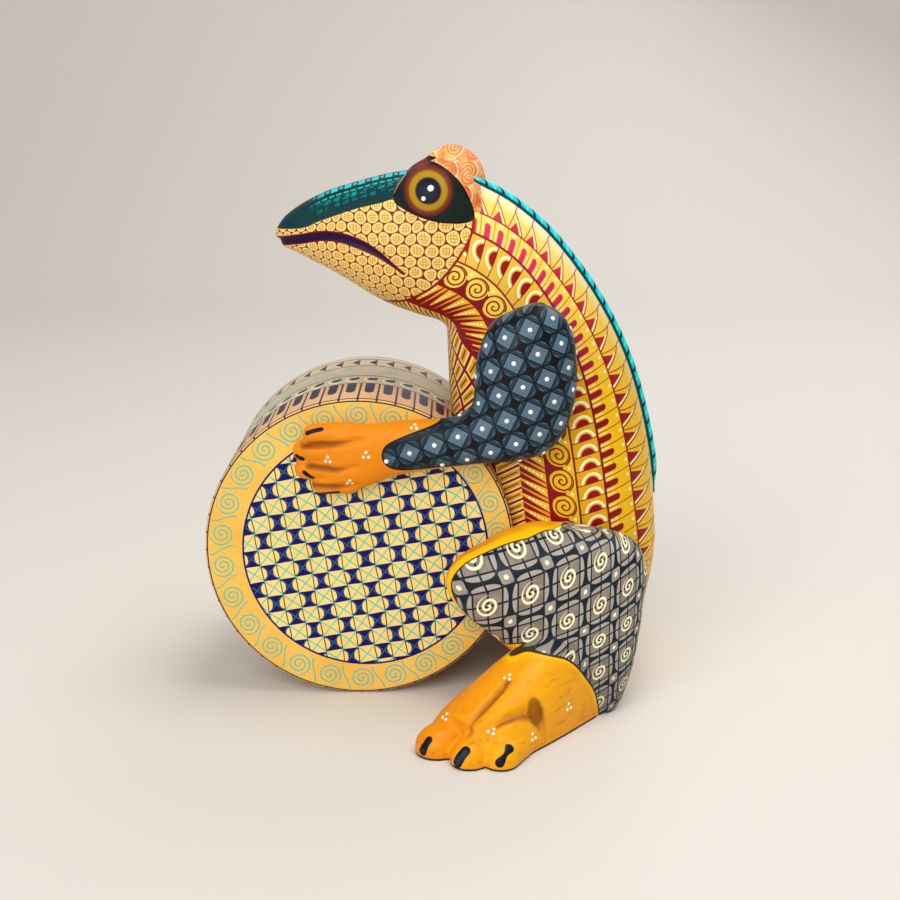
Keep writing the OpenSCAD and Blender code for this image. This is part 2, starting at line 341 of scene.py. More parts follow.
def ellipsoid(centre, size, tilt=0.0, points=48):
    """A closed egg shape, tilted about X."""
    rings = []
    for angle in np.linspace(0.02, math.pi - 0.02, points // 2):
        ring = np.column_stack([
            np.full(points, math.cos(angle)),
            math.sin(angle) * np.cos(turns(points)),
            math.sin(angle) * np.sin(turns(points)),
        ]) * size
        y = ring[:, 1] * math.cos(tilt) - ring[:, 2] * math.sin(tilt)
        z = ring[:, 1] * math.sin(tilt) + ring[:, 2] * math.cos(tilt)
        rings.append(np.column_stack([ring[:, 0], y, z]) + centre)
    return skin(rings)


def capsule(start, end, start_radius, end_radius, points=28):
    """A round-ended finger of wood between two points."""
    start, end = Vector(start), Vector(end)
    axis = (end - start).normalized()
    side = axis.orthogonal().normalized()
    other = axis.cross(side)
    around = np.outer(np.cos(turns(points)), side) + np.outer(np.sin(turns(points)), other)
    rings = []
    for place, radius, angles in (
        (start, start_radius, np.linspace(-1.5, 0, 8)),
        (end, end_radius, np.linspace(0, 1.5, 8)),
    ):
        for angle in angles:
            centre = np.array(place + axis * (radius * math.sin(angle)))
            rings.append(centre + radius * math.cos(angle) * around)
    return skin(rings)


def to_right(points):
    return points * (-1, 1, 1)


def mirrored(form):
    points, faces = form
    return to_right(points), [tuple(reversed(face)) for face in faces]


def foot_place(side, distance, z=0.0):
    """A place on the left foot, from its own sideways and lengthwise measures."""
    along = (math.sin(FOOT_SPLAY), -math.cos(FOOT_SPLAY))
    inward = (-math.cos(FOOT_SPLAY), -math.sin(FOOT_SPLAY))
    x = HEEL[0] + side * inward[0] + distance * along[0]
    y = HEEL[1] + side * inward[1] + distance * along[1]
    return (x, y, z)


def foot_form(points=64):
    """The left foot without its toes, flat underneath."""
    rings = []
    for distance, half_width, height in smooth_rows(FOOT, 10):
        side = half_width * swell(np.cos(turns(points)), FOOT_SQUARENESS)
        up = swell(np.sin(turns(points)), FOOT_SQUARENESS)
        rise = np.where(up > 0, height, 4) * up
        rings.append(np.array([foot_place(s, distance, z) for s, z in zip(side, rise)]))
    return skin(rings)


# --- Mesh helpers ---

def new_object(name, data):
    thing = bpy.data.objects.new(name, data)
    bpy.context.scene.collection.objects.link(thing)
    return thing


def mesh_piece(name, *forms):
    """One object from closed surfaces given in millimetres."""
    mesh = bpy.data.meshes.new(name)
    points, faces, start = [], [], 0
    for form_points, form_faces in forms:
        points.append(form_points)
        faces += [tuple(i + start for i in face) for face in form_faces]
        start += len(form_points)
    mesh.from_pydata((np.vstack(points) * MM).tolist(), [], faces)
    piece = new_object(name, mesh)
    surface = bmesh.new()
    surface.from_mesh(mesh)
    bmesh.ops.recalc_face_normals(surface, faces=surface.faces)
    surface.to_mesh(mesh)
    surface.free()
    return piece


def apply_modifiers(piece):
    depsgraph = bpy.context.evaluated_depsgraph_get()
    mesh = bpy.data.meshes.new_from_object(piece.evaluated_get(depsgraph))
    old = piece.data
    piece.modifiers.clear()
    piece.data = mesh
    bpy.data.meshes.remove(old)


def fuse(piece, voxel, smoothing):
    """Joins the surfaces of a piece into one even skin, as one block of wood."""
    remesh = piece.modifiers.new("fuse", "REMESH")
    remesh.mode = "VOXEL"
    remesh.voxel_size = voxel * FINE * MM
    relax = piece.modifiers.new("relax", "SMOOTH")
    relax.factor = 0.5
    relax.iterations = smoothing
    apply_modifiers(piece)


def cut(piece, tool):
    """Cuts one closed surface out of another."""
    modifier = piece.modifiers.new("cut", "BOOLEAN")
    modifier.operation = "DIFFERENCE"
    modifier.solver = "MANIFOLD"
    modifier.object = tool
    apply_modifiers(piece)


def places(piece):
    """A mesh's vertices in millimetres."""
    flat = np.empty(len(piece.data.vertices) * 3, np.float32)
    piece.data.vertices.foreach_get("co", flat)
    return flat.reshape(-1, 3).astype(float) / MM


def normals(piece):
    flat = np.empty(len(piece.data.vertices) * 3, np.float32)
    piece.data.vertices.foreach_get("normal", flat)
    return flat.reshape(-1, 3).astype(float)


def move_places(piece, points):
    piece.data.vertices.foreach_set("co", (points * MM).astype(np.float32).ravel())
    piece.data.update()


def store(piece, name, *values):
    """Keeps one number, or up to three, at each vertex for the paint to read."""
    table = np.zeros((len(values[0]), 3 if len(values) > 1 else 1), np.float32)
    for i, value in enumerate(values):
        table[:, i] = value
    kind, field = ("FLOAT_VECTOR", "vector") if len(values) > 1 else ("FLOAT", "value")
    layer = piece.data.attributes.new(name, kind, "POINT")
    layer.data.foreach_set(field, table.ravel())


def swing_down(points, angle):
    """Turns points about the X axis through the shoulder peg."""
    y = points[:, 1] - SHOULDER[0]
    z = points[:, 2] - SHOULDER[1]
    turned_y = y * math.cos(angle) - z * math.sin(angle) + SHOULDER[0]
    turned_z = y * math.sin(angle) + z * math.cos(angle) + SHOULDER[1]
    return np.column_stack([points[:, 0], turned_y, turned_z])


def right_twin(piece, name, points):
    """A copy of a left piece for the right side, mirrored from the points given."""
    twin = new_object(name, piece.data.copy())
    move_places(twin, to_right(points))
    twin.data.flip_normals()
    return twin


def remove(piece):
    mesh = piece.data
    bpy.data.objects.remove(piece)
    bpy.data.meshes.remove(mesh)


def block(name, low_ring, high_ring):
    return mesh_piece(name, skin([np.array(low_ring, float), np.array(high_ring, float)]))


def drum_room():
    """The drum's own shape, to be cut from the carvings that touch it."""
    rings = []
    radius = DRUM_RADIUS + DRUM_PLAY
    for x in (-DRUM_END, DRUM_END):
        y = DRUM_Y + radius * np.cos(turns(200))
        z = DRUM_Z + radius * np.sin(turns(200))
        rings.append(np.column_stack([np.full(200, x * 1.001), y, z]))
    return block("drum_room", *rings)


def floor_room():
    corners = [(-200, -200), (200, -200), (200, 200), (-200, 200)]
    return block("floor_room", [(x, y, -60) for x, y in corners], [(x, y, 0) for x, y in corners])


# --- Where each point of a carving lies on its stations ---

HALF_TURN = np.linspace(0, math.pi, 91)


class Stations:
    """Measures along and round a loft's outer half, from the back edge round to the front."""

    def __init__(self, rows):
        self.rows = rows
        self.rings = np.array([section(row, HALF_TURN) for row in rows])
        steps = np.linalg.norm(np.diff(self.rings, axis=1), axis=2)
        self.arcs = np.hstack([np.zeros((len(rows), 1)), np.cumsum(steps, axis=1)])

    def locate(self, points, batch=8000):
        """The station and the angle of each point, worked out in batches."""
        station = np.zeros(len(points))
        angle = np.zeros(len(points))
        for start in range(0, len(points), batch):
            part = slice(start, start + batch)
            station[part], angle[part] = self.locate_some(points[part])
        return station, angle

    def locate_some(self, points):
        back, front = self.rows[:, 0:2], self.rows[:, 2:4]
        y, z = points[:, 1:2], points[:, 2:3]
        side = (y - front[:, 0]) * (back - front)[:, 1] - (z - front[:, 1]) * (back - front)[:, 0]
        crossing = side[:, :-1] * side[:, 1:] <= 0
        share = side[:, :-1] / np.where(side[:, :-1] == side[:, 1:], 1, side[:, :-1] - side[:, 1:])
        share = np.clip(share, 0, 1)
        middle = (back + front) / 2
        half = (back - front) / 2
        mid_y = middle[:-1, 0] + share * np.diff(middle[:, 0])
        mid_z = middle[:-1, 1] + share * np.diff(middle[:, 1])
        half_y = half[:-1, 0] + share * np.diff(half[:, 0])
        half_z = half[:-1, 1] + share * np.diff(half[:, 1])
        level = ((y - mid_y) * half_y + (z - mid_z) * half_z) / (half_y ** 2 + half_z ** 2)
        gap = np.where(crossing, np.abs(level), 10 + np.hypot(y - mid_y, z - mid_z))
        best = np.argmin(gap, axis=1)
        every = np.arange(len(points))
        station = best + share[every, best]
        level = level[every, best]
        row = self.at(self.rows, station)
        across = (points[:, 0] - (row[:, 4] + row[:, 5]) / 2) / ((row[:, 5] - row[:, 4]) / 2)
        power = row[:, 6] / 2
        rise = np.clip(np.abs(across), 0, 1.5) ** power
        return station, np.arctan2(rise, np.sign(level) * np.abs(level) ** power)

    def at(self, table, station):
        """A table with one row to a station, read between stations."""
        low = np.clip(station.astype(int), 0, len(table) - 2)
        share = station - low
        if table.ndim > 1:
            share = share[:, None]
        return table[low] * (1 - share) + table[low + 1] * share

    def arc(self, station, angle):
        """Length round the section from its back edge."""
        place = angle / math.pi * (len(HALF_TURN) - 1)
        low = np.clip(place.astype(int), 0, len(HALF_TURN) - 2)
        share = place - low
        every = np.arange(len(station))
        round_it = self.at(self.arcs, station)
        return round_it[every, low] * (1 - share) + round_it[every, low + 1] * share

    def past_side(self, station, angle):
        """Length round the section from its outermost line, positive towards the back."""
        half_round = np.full(len(station), math.pi / 2)
        return self.arc(station, half_round) - self.arc(station, angle)

    def length_along(self, part):
        """Length from the first station along a line at one part of the way round."""
        spots = []
        for ring, arc in zip(self.rings, self.arcs):
            spots.append([np.interp(part * arc[-1], arc, ring[:, axis]) for axis in range(3)])
        steps = np.linalg.norm(np.diff(spots, axis=0), axis=1)
        return np.concatenate([[0], np.cumsum(steps)])


# --- Carvings ---

def groove(piece, spots, lines, depth, width, where=None):
    """Presses smooth grooves into a surface along lines drawn on the given side view."""
    push = np.zeros(len(spots))
    for line in lines:
        gap, along = line_distance(spots, smooth_rows(line, 6))
        fade = ease(along, 0, 0.12) * ease(1 - along, 0, 0.2)
        push = np.maximum(push, fade * np.exp(-(gap / width) ** 2))
    if where is not None:
        push = push * where
    move_places(piece, places(piece) - normals(piece) * (depth * push)[:, None])


def carve_torso():
    """Torso, head and eye mounds, with the mouth cut in and the crest raised."""
    left = [ellipsoid(centre, size, EYE_MOUND_TILT) for centre, size in LEFT_MOUND]
    right = [mirrored(ellipsoid(centre, size, EYE_MOUND_TILT)) for centre, size in RIGHT_MOUND]
    piece = mesh_piece("body_carving", torso_form(), *left, *right)
    fuse(piece, voxel=0.95, smoothing=5)
    mouth = [(-72, 179.5), *MOUTH[1:]]
    groove(piece, places(piece)[:, 1:], [mouth], depth=1.1, width=1.5)
    station, angle = SPINE.locate(places(piece))
    crest = np.exp(-(SPINE.arc(station, angle) / 5.5) ** 2) * ridge_part(station / SPINE_STEPS)
    move_places(piece, places(piece) + normals(piece) * (CREST * crest)[:, None])
    return piece


def carve_arm():
    """The left arm at rest, with its hand and fingers."""
    fingers = [
        capsule((FINGER_X - 0.5, y0, z0), (FINGER_X, y1, z1), radius + 0.8, radius)
        for y0, z0, y1, z1, radius in FINGERS
    ]
    piece = mesh_piece("left_arm_carving", limb_form(ARM), limb_form(PALM), *fingers)
    fuse(piece, voxel=0.6, smoothing=8)
    points = places(piece)
    outside = ease(points[:, 0], 44, 49)
    groove(piece, points[:, 1:], FINGER_GROOVES, depth=1.3, width=1.3, where=outside)
    return piece


def foot_measures(points):
    """Sideways and lengthwise measures of points on the left foot."""
    x = points[:, 0] - HEEL[0]
    y = points[:, 1] - HEEL[1]
    side = -x * math.cos(FOOT_SPLAY) - y * math.sin(FOOT_SPLAY)
    distance = x * math.sin(FOOT_SPLAY) - y * math.cos(FOOT_SPLAY)
    return np.column_stack([side, distance])


def carve_leg():
    """The left leg, with its foot and toes."""
    toes = [
        capsule(foot_place(s0, d0, 4), foot_place(s1, d1 - radius, 2), radius, radius)
        for s0, d0, s1, d1, radius in TOES
    ]
    piece = mesh_piece("left_leg_carving", limb_form(LEG), foot_form(), *toes)
    fuse(piece, voxel=0.7, smoothing=8)
    points = places(piece)
    on_foot = ease(-points[:, 2], -36, -30)
    groove(piece, foot_measures(points), TOE_GROOVES, depth=1.5, width=1.7, where=on_foot)
    return piece


def finish_mesh(piece):
    """Smooth shading that stays crisp at the cut edges."""
    piece.data.polygons.foreach_set("use_smooth", [True] * len(piece.data.polygons))
    piece.data.set_sharp_from_angle(angle=math.radians(50))
    piece.data.update()


# --- Paint measures, kept at the vertices ---

SPINE = Stations(torso_rows(SPINE_STEPS))
ARM_STATIONS = Stations(smooth_rows(ARM + PALM[2:], 12))
LEG_STATIONS = Stations(smooth_rows(LEG, 12))


def torso_measures(piece):
    """Everything the body's paint is set out by: bands along the back, and patches on the head."""
    points = places(piece)
    station, angle = SPINE.locate(points)
    from_ridge = SPINE.arc(station, angle)
    round_it = SPINE.at(SPINE.arcs[:, -1], station)
    high = ease(station / SPINE_STEPS, 6.2, 8.6)
    edges = [0.25, 0.352, 0.442 + 0.05 * high, 0.53 + 0.085 * high, 0.613 + 0.17 * high]
    gaps = [from_ridge - edge * round_it for edge in edges]
    runs = [SPINE.at(SPINE.length_along(part), station) for part in (0.2, 0.4, 0.52, 0.62, 0.8)]
    store(piece, "ridge", from_ridge)
    store(piece, "edges_1", gaps[0], gaps[1], gaps[2])
    store(piece, "edges_2", gaps[3], gaps[4], round_it - from_ridge)
    store(piece, "runs_1", runs[0], runs[1], runs[2])
    store(piece, "runs_2", runs[3], runs[4])
    side = points[:, 1:]
    behind, _ = line_distance(side, smooth_rows(HEAD_EDGE, 8))
    beak, _ = line_distance(side, smooth_rows(BEAK_EDGE, 8))
    into, _ = line_distance(side, smooth_loop(EYE_PATCH))
    head, patch = -behind, -into
    mouth, along = line_distance(side, smooth_rows(MOUTH, 8))
    taper = 1.5 * ease(1 - along, 0, 0.4) + 0.1
    mound = np.where(points[:, 0] > 0, mound_gap(side, LEFT_MOUND), mound_gap(side, RIGHT_MOUND))
    top = SPINE.rows[SPINE.rows[:, 0] < 12][::-1]
    drop = np.interp(side[:, 0], top[:, 0], top[:, 1]) - side[:, 1] + 0.26 * np.abs(points[:, 0])
    flat = unrolled(SPINE, station, angle)
    above = (side[:, 1] - 197.5) + 0.22 * side[:, 0]
    store(piece, "marks_1", head, beak, patch)
    store(piece, "marks_2", np.abs(mouth) - taper, mound, above)
    store(piece, "face", flat[:, 0], flat[:, 1], drop)
    store(piece, "spot", np.abs(points[:, 0]), points[:, 1], points[:, 2])


def mound_gap(side, eggs):
    """Distance outside an eye mound, as seen from the side."""
    gap = np.full(len(side), 99.0)
    for centre, size in eggs:
        y = side[:, 0] - centre[1] - 0.1 * (side[:, 1] - centre[2])
        egg = np.hypot(y / (size[1] + 0.7), (side[:, 1] - centre[2]) / (size[2] + 0.7)) - 1
        gap = np.minimum(gap, egg * 16)
    return gap


def unrolled(stations, station, angle):
    """Side view places, with the parts that turn away from the side laid out flat."""
    row = stations.at(stations.rows, station)
    way = row[:, 0:2] - row[:, 2:4]
    way = way / np.linalg.norm(way, axis=1)[:, None]
    middle = (row[:, 0:2] + row[:, 2:4]) / 2
    return middle + way * stations.past_side(station, angle)[:, None]


def nail_gap(points, nails):
    """Distance outside the nearest nail, each an oval between two points."""
    gap = np.full(len(points), 99.0)
    for start, end, radius in nails:
        start, end = np.array(start, float), np.array(end, float)
        way = end - start
        share = np.clip((points - start) @ way / (way @ way), 0, 1)
        distance = np.linalg.norm(points - start - share[:, None] * way, axis=1)
        gap = np.minimum(gap, distance - radius)
    return gap


def crease_gap(spots, lines):
    """Distance from the nearest groove, growing towards each groove's far end."""
    gap = np.full(len(spots), 20.0)
    for line in lines:
        distance, along = line_distance(spots, smooth_rows(line, 6))
        gap = np.minimum(gap, np.abs(distance) + 2.5 * ease(along, 0.4, 1.0))
    return gap


def arm_measures(piece, points):
    """The arm's paint is set out on the left arm at rest, and so are the points given here."""
    station, angle = ARM_STATIONS.locate(points)
    flat = unrolled(ARM_STATIONS, station, angle)
    into, _ = line_distance(points[:, 1:], smooth_loop(SLATE_EDGE))
    slate = -into
    store(piece, "spot", points[:, 0], points[:, 1], points[:, 2])
    store(piece, "flat", flat[:, 0], flat[:, 1], slate)
    store(piece, "nails", nail_gap(points, FINGER_NAILS))
    store(piece, "creases", crease_gap(points[:, 1:], FINGER_GROOVES))
    return flat, slate


def leg_measures(piece, points):
    """The leg's paint is set out on the left leg, and so are the points given here."""
    station, angle = LEG_STATIONS.locate(points)
    row = LEG_STATIONS.at(LEG_STATIONS.rows, station)
    u = (row[:, 0] + row[:, 2]) / 2 + LEG_STATIONS.past_side(station, angle)
    v = LEG_STATIONS.at(LEG_STATIONS.length_along(0.5), station)
    shank, _ = line_distance(points[:, 1:], smooth_rows(SHANK_EDGE, 8))
    edge_x = 56.3 - 3 * ease(points[:, 1], 34, 44) - 30 * ease(points[:, 1], 44, 60)
    front = edge_x - points[:, 0]
    foot = foot_measures(points)
    store(piece, "flat", u, v)
    store(piece, "patch", shank, front)
    notch = np.hypot(foot[:, 0] - NOTCH[0], (foot[:, 1] - NOTCH[1]) * 0.75)
    store(piece, "foot", foot[:, 0], foot[:, 1], points[:, 2])
    store(piece, "hollows", crease_gap(foot, TOE_GROOVES), notch, nail_gap(points, TOE_NAILS))


# --- Paint: materials are built as sums on measures in millimetres ---

class Num:
    """A number that a material works out at each point."""

    def __init__(self, paint, socket):
        self.paint = paint
        self.socket = socket

    def __add__(self, other):
        return self.paint.math("ADD", self, other)

    def __sub__(self, other):
        return self.paint.math("SUBTRACT", self, other)

    def __mul__(self, other):
        return self.paint.math("MULTIPLY", self, other)

    def __truediv__(self, other):
        return self.paint.math("DIVIDE", self, other)

    def __rsub__(self, other):
        return self.paint.math("SUBTRACT", other, self)

    def __neg__(self):
        return self * -1.0

    __radd__ = __add__
    __rmul__ = __mul__


def srgb(red, green, blue):
    """A colour as a painter's chart would give it, from 0 to 255."""
    out = []
    for value in (red, green, blue):
        share = value / 255
        out.append(share / 12.92 if share <= 0.04045 else ((share + 0.055) / 1.055) ** 2.4)
    return (*out, 1.0)


class Paint:
    """One material, painted in layers."""

    def __init__(self, name):
        self.material = bpy.data.materials.new(name)
        self.material.use_nodes = True
        self.tree = self.material.node_tree
        self.shader = self.tree.nodes["Principled BSDF"]
        self.colour = None

    def put(self, socket, value):
        if isinstance(value, Num):
            self.tree.links.new(value.socket, socket)
        elif isinstance(value, bpy.types.NodeSocket):
            self.tree.links.new(value, socket)
        else:
            socket.default_value = value

    def node(self, kind, *values):
        """A new node, with its first sockets set to the values."""
        node = self.tree.nodes.new("ShaderNode" + kind)
        for socket, value in zip(node.inputs, values):
            self.put(socket, value)
        return node

    def math(self, kind, *values, clamp=False):
        node = self.node("Math", *values)
        node.operation = kind
        node.use_clamp = clamp
        return Num(self, node.outputs[0])

    def measure(self, name):
        """The node that reads what store() kept under a name."""
        node = self.node("Attribute")
        node.attribute_name = name
        return node

    def number(self, name):
        return Num(self, self.measure(name).outputs["Fac"])

    def numbers(self, name):
        return self.split(self.measure(name).outputs["Vector"])

    def split(self, vector):
        return [Num(self, output) for output in self.node("SeparateXYZ", vector).outputs]

    def join(self, x, y, z=0.0):
        return self.node("CombineXYZ", x, y, z).outputs[0]

    def own_place(self):
        """Where a point lies in its object's own frame, in metres."""
        return self.node("TexCoord").outputs["Object"]

    def noise(self, vector, scale, detail=2.0):
        node = self.node("TexNoise", vector)
        node.inputs["Scale"].default_value = scale
        node.inputs["Detail"].default_value = detail
        return Num(self, node.outputs["Fac"])

    def mix(self, mask, under, over):
        node = self.node("Mix")
        node.data_type = "RGBA"
        sockets = [s for s in node.inputs if s.enabled]
        for socket, value in zip(sockets, (mask, under, over)):
            self.put(socket, value)
        return [s for s in node.outputs if s.enabled][0]

    def lay(self, mask, over):
        """Paints a colour over what is there, where the mask is one."""
        self.colour = self.mix(mask, self.colour, over)

    def fill(self, gap, over, where=None, soft=0.16):
        """Paints inside an outline, where its signed distance is below nought."""
        mask = within(gap, soft)
        self.lay(mask if where is None else mask * where, over)

    def varnish(self, roughness=0.45, coat=0.04):
        self.put(self.shader.inputs["Base Color"], self.colour)
        self.shader.inputs["Roughness"].default_value = roughness
        self.shader.inputs["Specular IOR Level"].default_value = 0.14
        self.shader.inputs["Coat Weight"].default_value = coat
        self.shader.inputs["Coat Roughness"].default_value = 0.25
        return self.material


def size_of(a):
    return a.paint.math("ABSOLUTE", a)


def least(a, *others):
    for other in others:
        a = a.paint.math("MINIMUM", a, other)
    return a


def most(a, *others):
    for other in others:
        a = a.paint.math("MAXIMUM", a, other)
    return a


def reach(x, y):
    """Distance from the origin."""
    return x.paint.math("SQRT", x * x + y * y)


def cell(value, pitch):
    """Signed distance from the middle of the repeat that a point lies in."""
    return (value.paint.math("FRACT", value / pitch) - 0.5) * pitch


def odd(value):
    """One in every other whole step, else nought."""
    paint = value.paint
    return paint.math("GREATER_THAN", paint.math("FRACT", value * 0.5), 0.25)


def within(gap, soft=0.16):
    """One where a signed distance is below nought, with a soft edge."""
    return gap.paint.math("MULTIPLY_ADD", gap, -1 / soft, 0.5, clamp=True)


def blend(value, low, high):
    """From nought at low to one at high, evenly."""
    return value.paint.math("MULTIPLY_ADD", value, 1 / (high - low), -low / (high - low), clamp=True)


def turned(x, y, degrees):
    """The same place in axes turned by some degrees."""
    cosine = math.cos(math.radians(degrees))
    sine = math.sin(math.radians(degrees))
    return x * cosine + y * sine, y * cosine - x * sine


def spiral(x, y, step, radius, half_line, lead=0.0, hand=1.0):
    """Distance outside a painted spiral line round the origin."""
    paint = x.paint
    far = reach(x, y)
    angle = paint.math("ARCTAN2", y, x) * (hand / TAU)
    phase = paint.math("FRACT", far / step - angle + lead)
    return most(size_of(phase - 0.5) * step - half_line, far - radius)


YELLOW = srgb(250, 205, 30)
OCHRE = srgb(232, 168, 10)
PALE = srgb(255, 238, 120)
CREAM = srgb(255, 246, 196)
DARK_RED = srgb(140, 8, 22)
PINK = srgb(222, 40, 92)
BROWN_LINE = srgb(120, 52, 8)
WHITE = srgb(250, 248, 238)
BLACK = srgb(12, 13, 20)
NAVY = srgb(8, 4, 98)
TURQUOISE = srgb(104, 190, 164)
INK = srgb(24, 22, 70)
DARK_LINE = srgb(30, 26, 52)

# Repeats of the painted patterns, in millimetres, with the turn and shift of the arm's lattice
SCALE_PITCH = 5.6
SLATE_PITCH = 9.9
SLATE_TURN = 20.5
SLATE_SHIFT = (7.5, 1.5)
LEG_PITCH = 17.0
CHECK_PITCH = 6.55
SPIRALS_ROUND = 26
KEYHOLES_ROUND = 52
# Painted lines round the drum's shell, as parts of its length
SHELL_LINES = (0.015, 0.345, 0.515, 0.755, 0.915, 0.985)


def paint_bands(paint):
    """The body's long bands, laid from the chest round to the ridge."""
    ridge = paint.number("ridge")
    to_a, to_b, to_c = paint.numbers("edges_1")
    to_d, to_e, _ = paint.numbers("edges_2")
    run_ab, run_c, run_d = paint.numbers("runs_1")
    run_e, run_f, _ = paint.numbers("runs_2")
    _, _, z = paint.numbers("spot")
    # Painted highlight: every band turns paler and pinker up towards the nape
    upper_highlight = blend(z, 118.0, 178.0)
    grain = paint.noise(paint.join(run_ab, ridge), 0.35, 3.0)
    gold = paint.mix(upper_highlight * 0.45, paint.mix(grain, OCHRE, YELLOW), PALE)
    deep = paint.mix(grain, srgb(214, 146, 6), srgb(240, 182, 20))
    red = paint.mix(grain, srgb(112, 4, 20), srgb(152, 12, 26))
    rose = paint.mix(upper_highlight, DARK_RED, PINK)

    # Chest: slanted cards with a line inside each
    paint.colour = red
    slant = run_f + to_e * 0.55
    x = cell(slant, 4.6)
    y_card = cell(to_e + 1.5, 12.5)
    card = most(size_of(x) - 1.85, size_of(y_card) - 5.4)
    paint.fill(card, deep)
    paint.fill(most(size_of(card + 0.45) - 0.18, card), CREAM)
    paint.fill(most(size_of(x) - 0.3, size_of(y_card) - 3.6), BROWN_LINE)

    # Leaves: one dotted and one plain in each repeat, leaning towards the head
    leaf = within(to_e)
    paint.lay(leaf, red)
    lean = run_e - to_d * 0.5
    x = cell(lean, 6.2)
    wide = paint.math("MULTIPLY_ADD", to_d, -0.13, 1.9)
    dotted = most(size_of(x - 1.0) - wide, to_d - 11.5, 0.6 - to_d)
    paint.fill(dotted, paint.mix(grain, OCHRE, YELLOW), leaf)
    plain = most(size_of(x + 2.1) - wide * 0.42, to_d - 13.5, 0.6 - to_d)
    paint.fill(plain, srgb(238, 150, 40), leaf)
    beads = reach(x - 1.0, cell(to_d, 1.5)) - 0.5
    paint.fill(most(beads, to_d - 8.5, 1.6 - to_d), CREAM, leaf)

    # Scrolls: yellow spirals between the line of scales and a dark red field
    scroll = within(to_d)
    paint.lay(scroll, red)
    x = cell(run_d, 10.6)
    y = to_c - 5.6
    paint.fill(most(y + 2.6 - size_of(x) * 0.35, y - 6), gold, scroll)
    disc = reach(x, y - 0.4) - 4.7
    paint.fill(disc, gold, scroll)
    curl = spiral(x, y - 0.4, 2.15, 4.3, 0.36, 0.25)
    paint.fill(curl, red, scroll)
    hem = most(size_of(disc) - 0.32, y - 1.5 - x * 0.9)
    paint.fill(hem, red, scroll)
    paint.fill(reach(size_of(x) - 5.3, y + 3.4) - 0.6, CREAM, scroll)

    # Scales: cream arches round dark red domes
    scale = within(to_c)
    paint.lay(scale, paint.mix(upper_highlight * 0.25, deep, PALE))
    x = paint.math("FRACT", (run_c + to_b * 0.3) / 5.85) * 5.85
    far = reach(x, to_b - 5.4)
    paint.fill(most(far - 4.9, -x), paint.mix(upper_highlight * 0.3, OCHRE, YELLOW), scale)
    paint.fill(most(size_of(far - 4.0) - 0.5, -0.05 - x), CREAM, scale)
    paint.fill(most(far - 2.9, 0.3 - x), srgb(150, 4, 26), scale)
    paint.fill(size_of(x - 0.15) - 0.3, red, scale)

    # Slots: dark red fingers pointing to the ridge, each with a cream dot over it
    slot = within(to_b)
    paint.lay(slot, gold)
    x = cell(run_ab + to_a * 0.34, 6.25)
    high = -to_b
    finger = most(size_of(x) - 1.35, high - 5.0)
    tip = reach(x, high - 5.0) - 1.35
    paint.fill(least(finger, tip), rose, slot)
    paint.fill(most(size_of(size_of(x) - 2.2) - 0.3, high - 4.2), srgb(255, 222, 130), slot)
    border = paint.mix(upper_highlight, srgb(150, 40, 10), srgb(205, 110, 50))
    paint.fill(size_of(size_of(x) - 3.125) - 0.2, border, slot)
    paint.fill(reach(x, to_a - 1.7) - 0.65, CREAM, slot)

    # Zigzags beside the ridge: a red tooth and thin slanted strokes in each repeat
    zigzag = within(to_a)
    paint.lay(zigzag, paint.mix(blend(ridge, 3.0, 16.0), paint.mix(upper_highlight, srgb(250, 222, 120), CREAM), gold))
    repeat = 8.2
    t = paint.math("FRACT", 100.0 - run_ab / repeat)
    share = to_a / (to_a - ridge + 2.0)
    share = share * (2.0 - share)
    line = paint.mix(upper_highlight, srgb(160, 40, 14), srgb(208, 70, 54))
    slope = size_of(t - 0.93 + share * 0.98) * (repeat * 0.8) - 0.32
    paint.fill(slope, line, zigzag)
    paint.fill(size_of(t - 0.02) * repeat - 0.32, line, zigzag)
    stroke = most(size_of(t - 0.83 + share * 0.95) * repeat - 0.34, (share - 0.6) * 8.0)
    paint.fill(stroke, CREAM, zigzag)
    tooth = most(0.14 + share * 0.28 - t, t - 0.74 + share * 0.92) * repeat
    paint.fill(tooth, paint.mix(upper_highlight, srgb(150, 8, 24), srgb(205, 26, 60)), zigzag)

    # Lines between the bands
    border = paint.mix(upper_highlight * 0.6, srgb(124, 8, 20), srgb(170, 20, 60))
    for gap, half in ((to_a, 0.42), (to_b, 0.5), (to_c, 0.42)):
        paint.fill(size_of(gap) - half, border)


def paint_scales(paint, face, spot):
    """Round scales in offset rows: a pale ring round a beaded ochre middle."""
    flat_y, flat_z, _ = paint.numbers("face")
    sway = paint.noise(spot, 0.09, 1.0) * 5.0
    u = flat_y - flat_y * flat_y * 0.0033 + sway
    v = (flat_z - 178.0) * (1.0 - flat_y * 0.0058) - sway * 0.8
    height = SCALE_PITCH * math.sqrt(3)
    even_row = reach(cell(u, SCALE_PITCH), cell(v, height))
    odd_row = reach(cell(u + SCALE_PITCH / 2, SCALE_PITCH), cell(v + height / 2, height))
    far = least(even_row, odd_row)
    paint.lay(face, srgb(132, 34, 10))
    tone = paint.noise(spot, 0.12, 2.0)
    disc = paint.mix(tone, srgb(218, 168, 60), srgb(232, 186, 96))
    paint.fill(far - SCALE_PITCH * 0.47, disc, face)
    ring = size_of(far - SCALE_PITCH * 0.39) - SCALE_PITCH * 0.05
    paint.fill(ring, srgb(250, 214, 140), face, soft=0.3)
    middle = paint.mix(tone, srgb(196, 146, 12), srgb(214, 168, 30))
    paint.fill(far - SCALE_PITCH * 0.32, middle, face)
    beads = most(reach(cell(u, 1.1), cell(v, 1.1)) - 0.34, far - SCALE_PITCH * 0.33)
    paint.fill(beads, srgb(250, 232, 160), face * 0.85, soft=0.3)


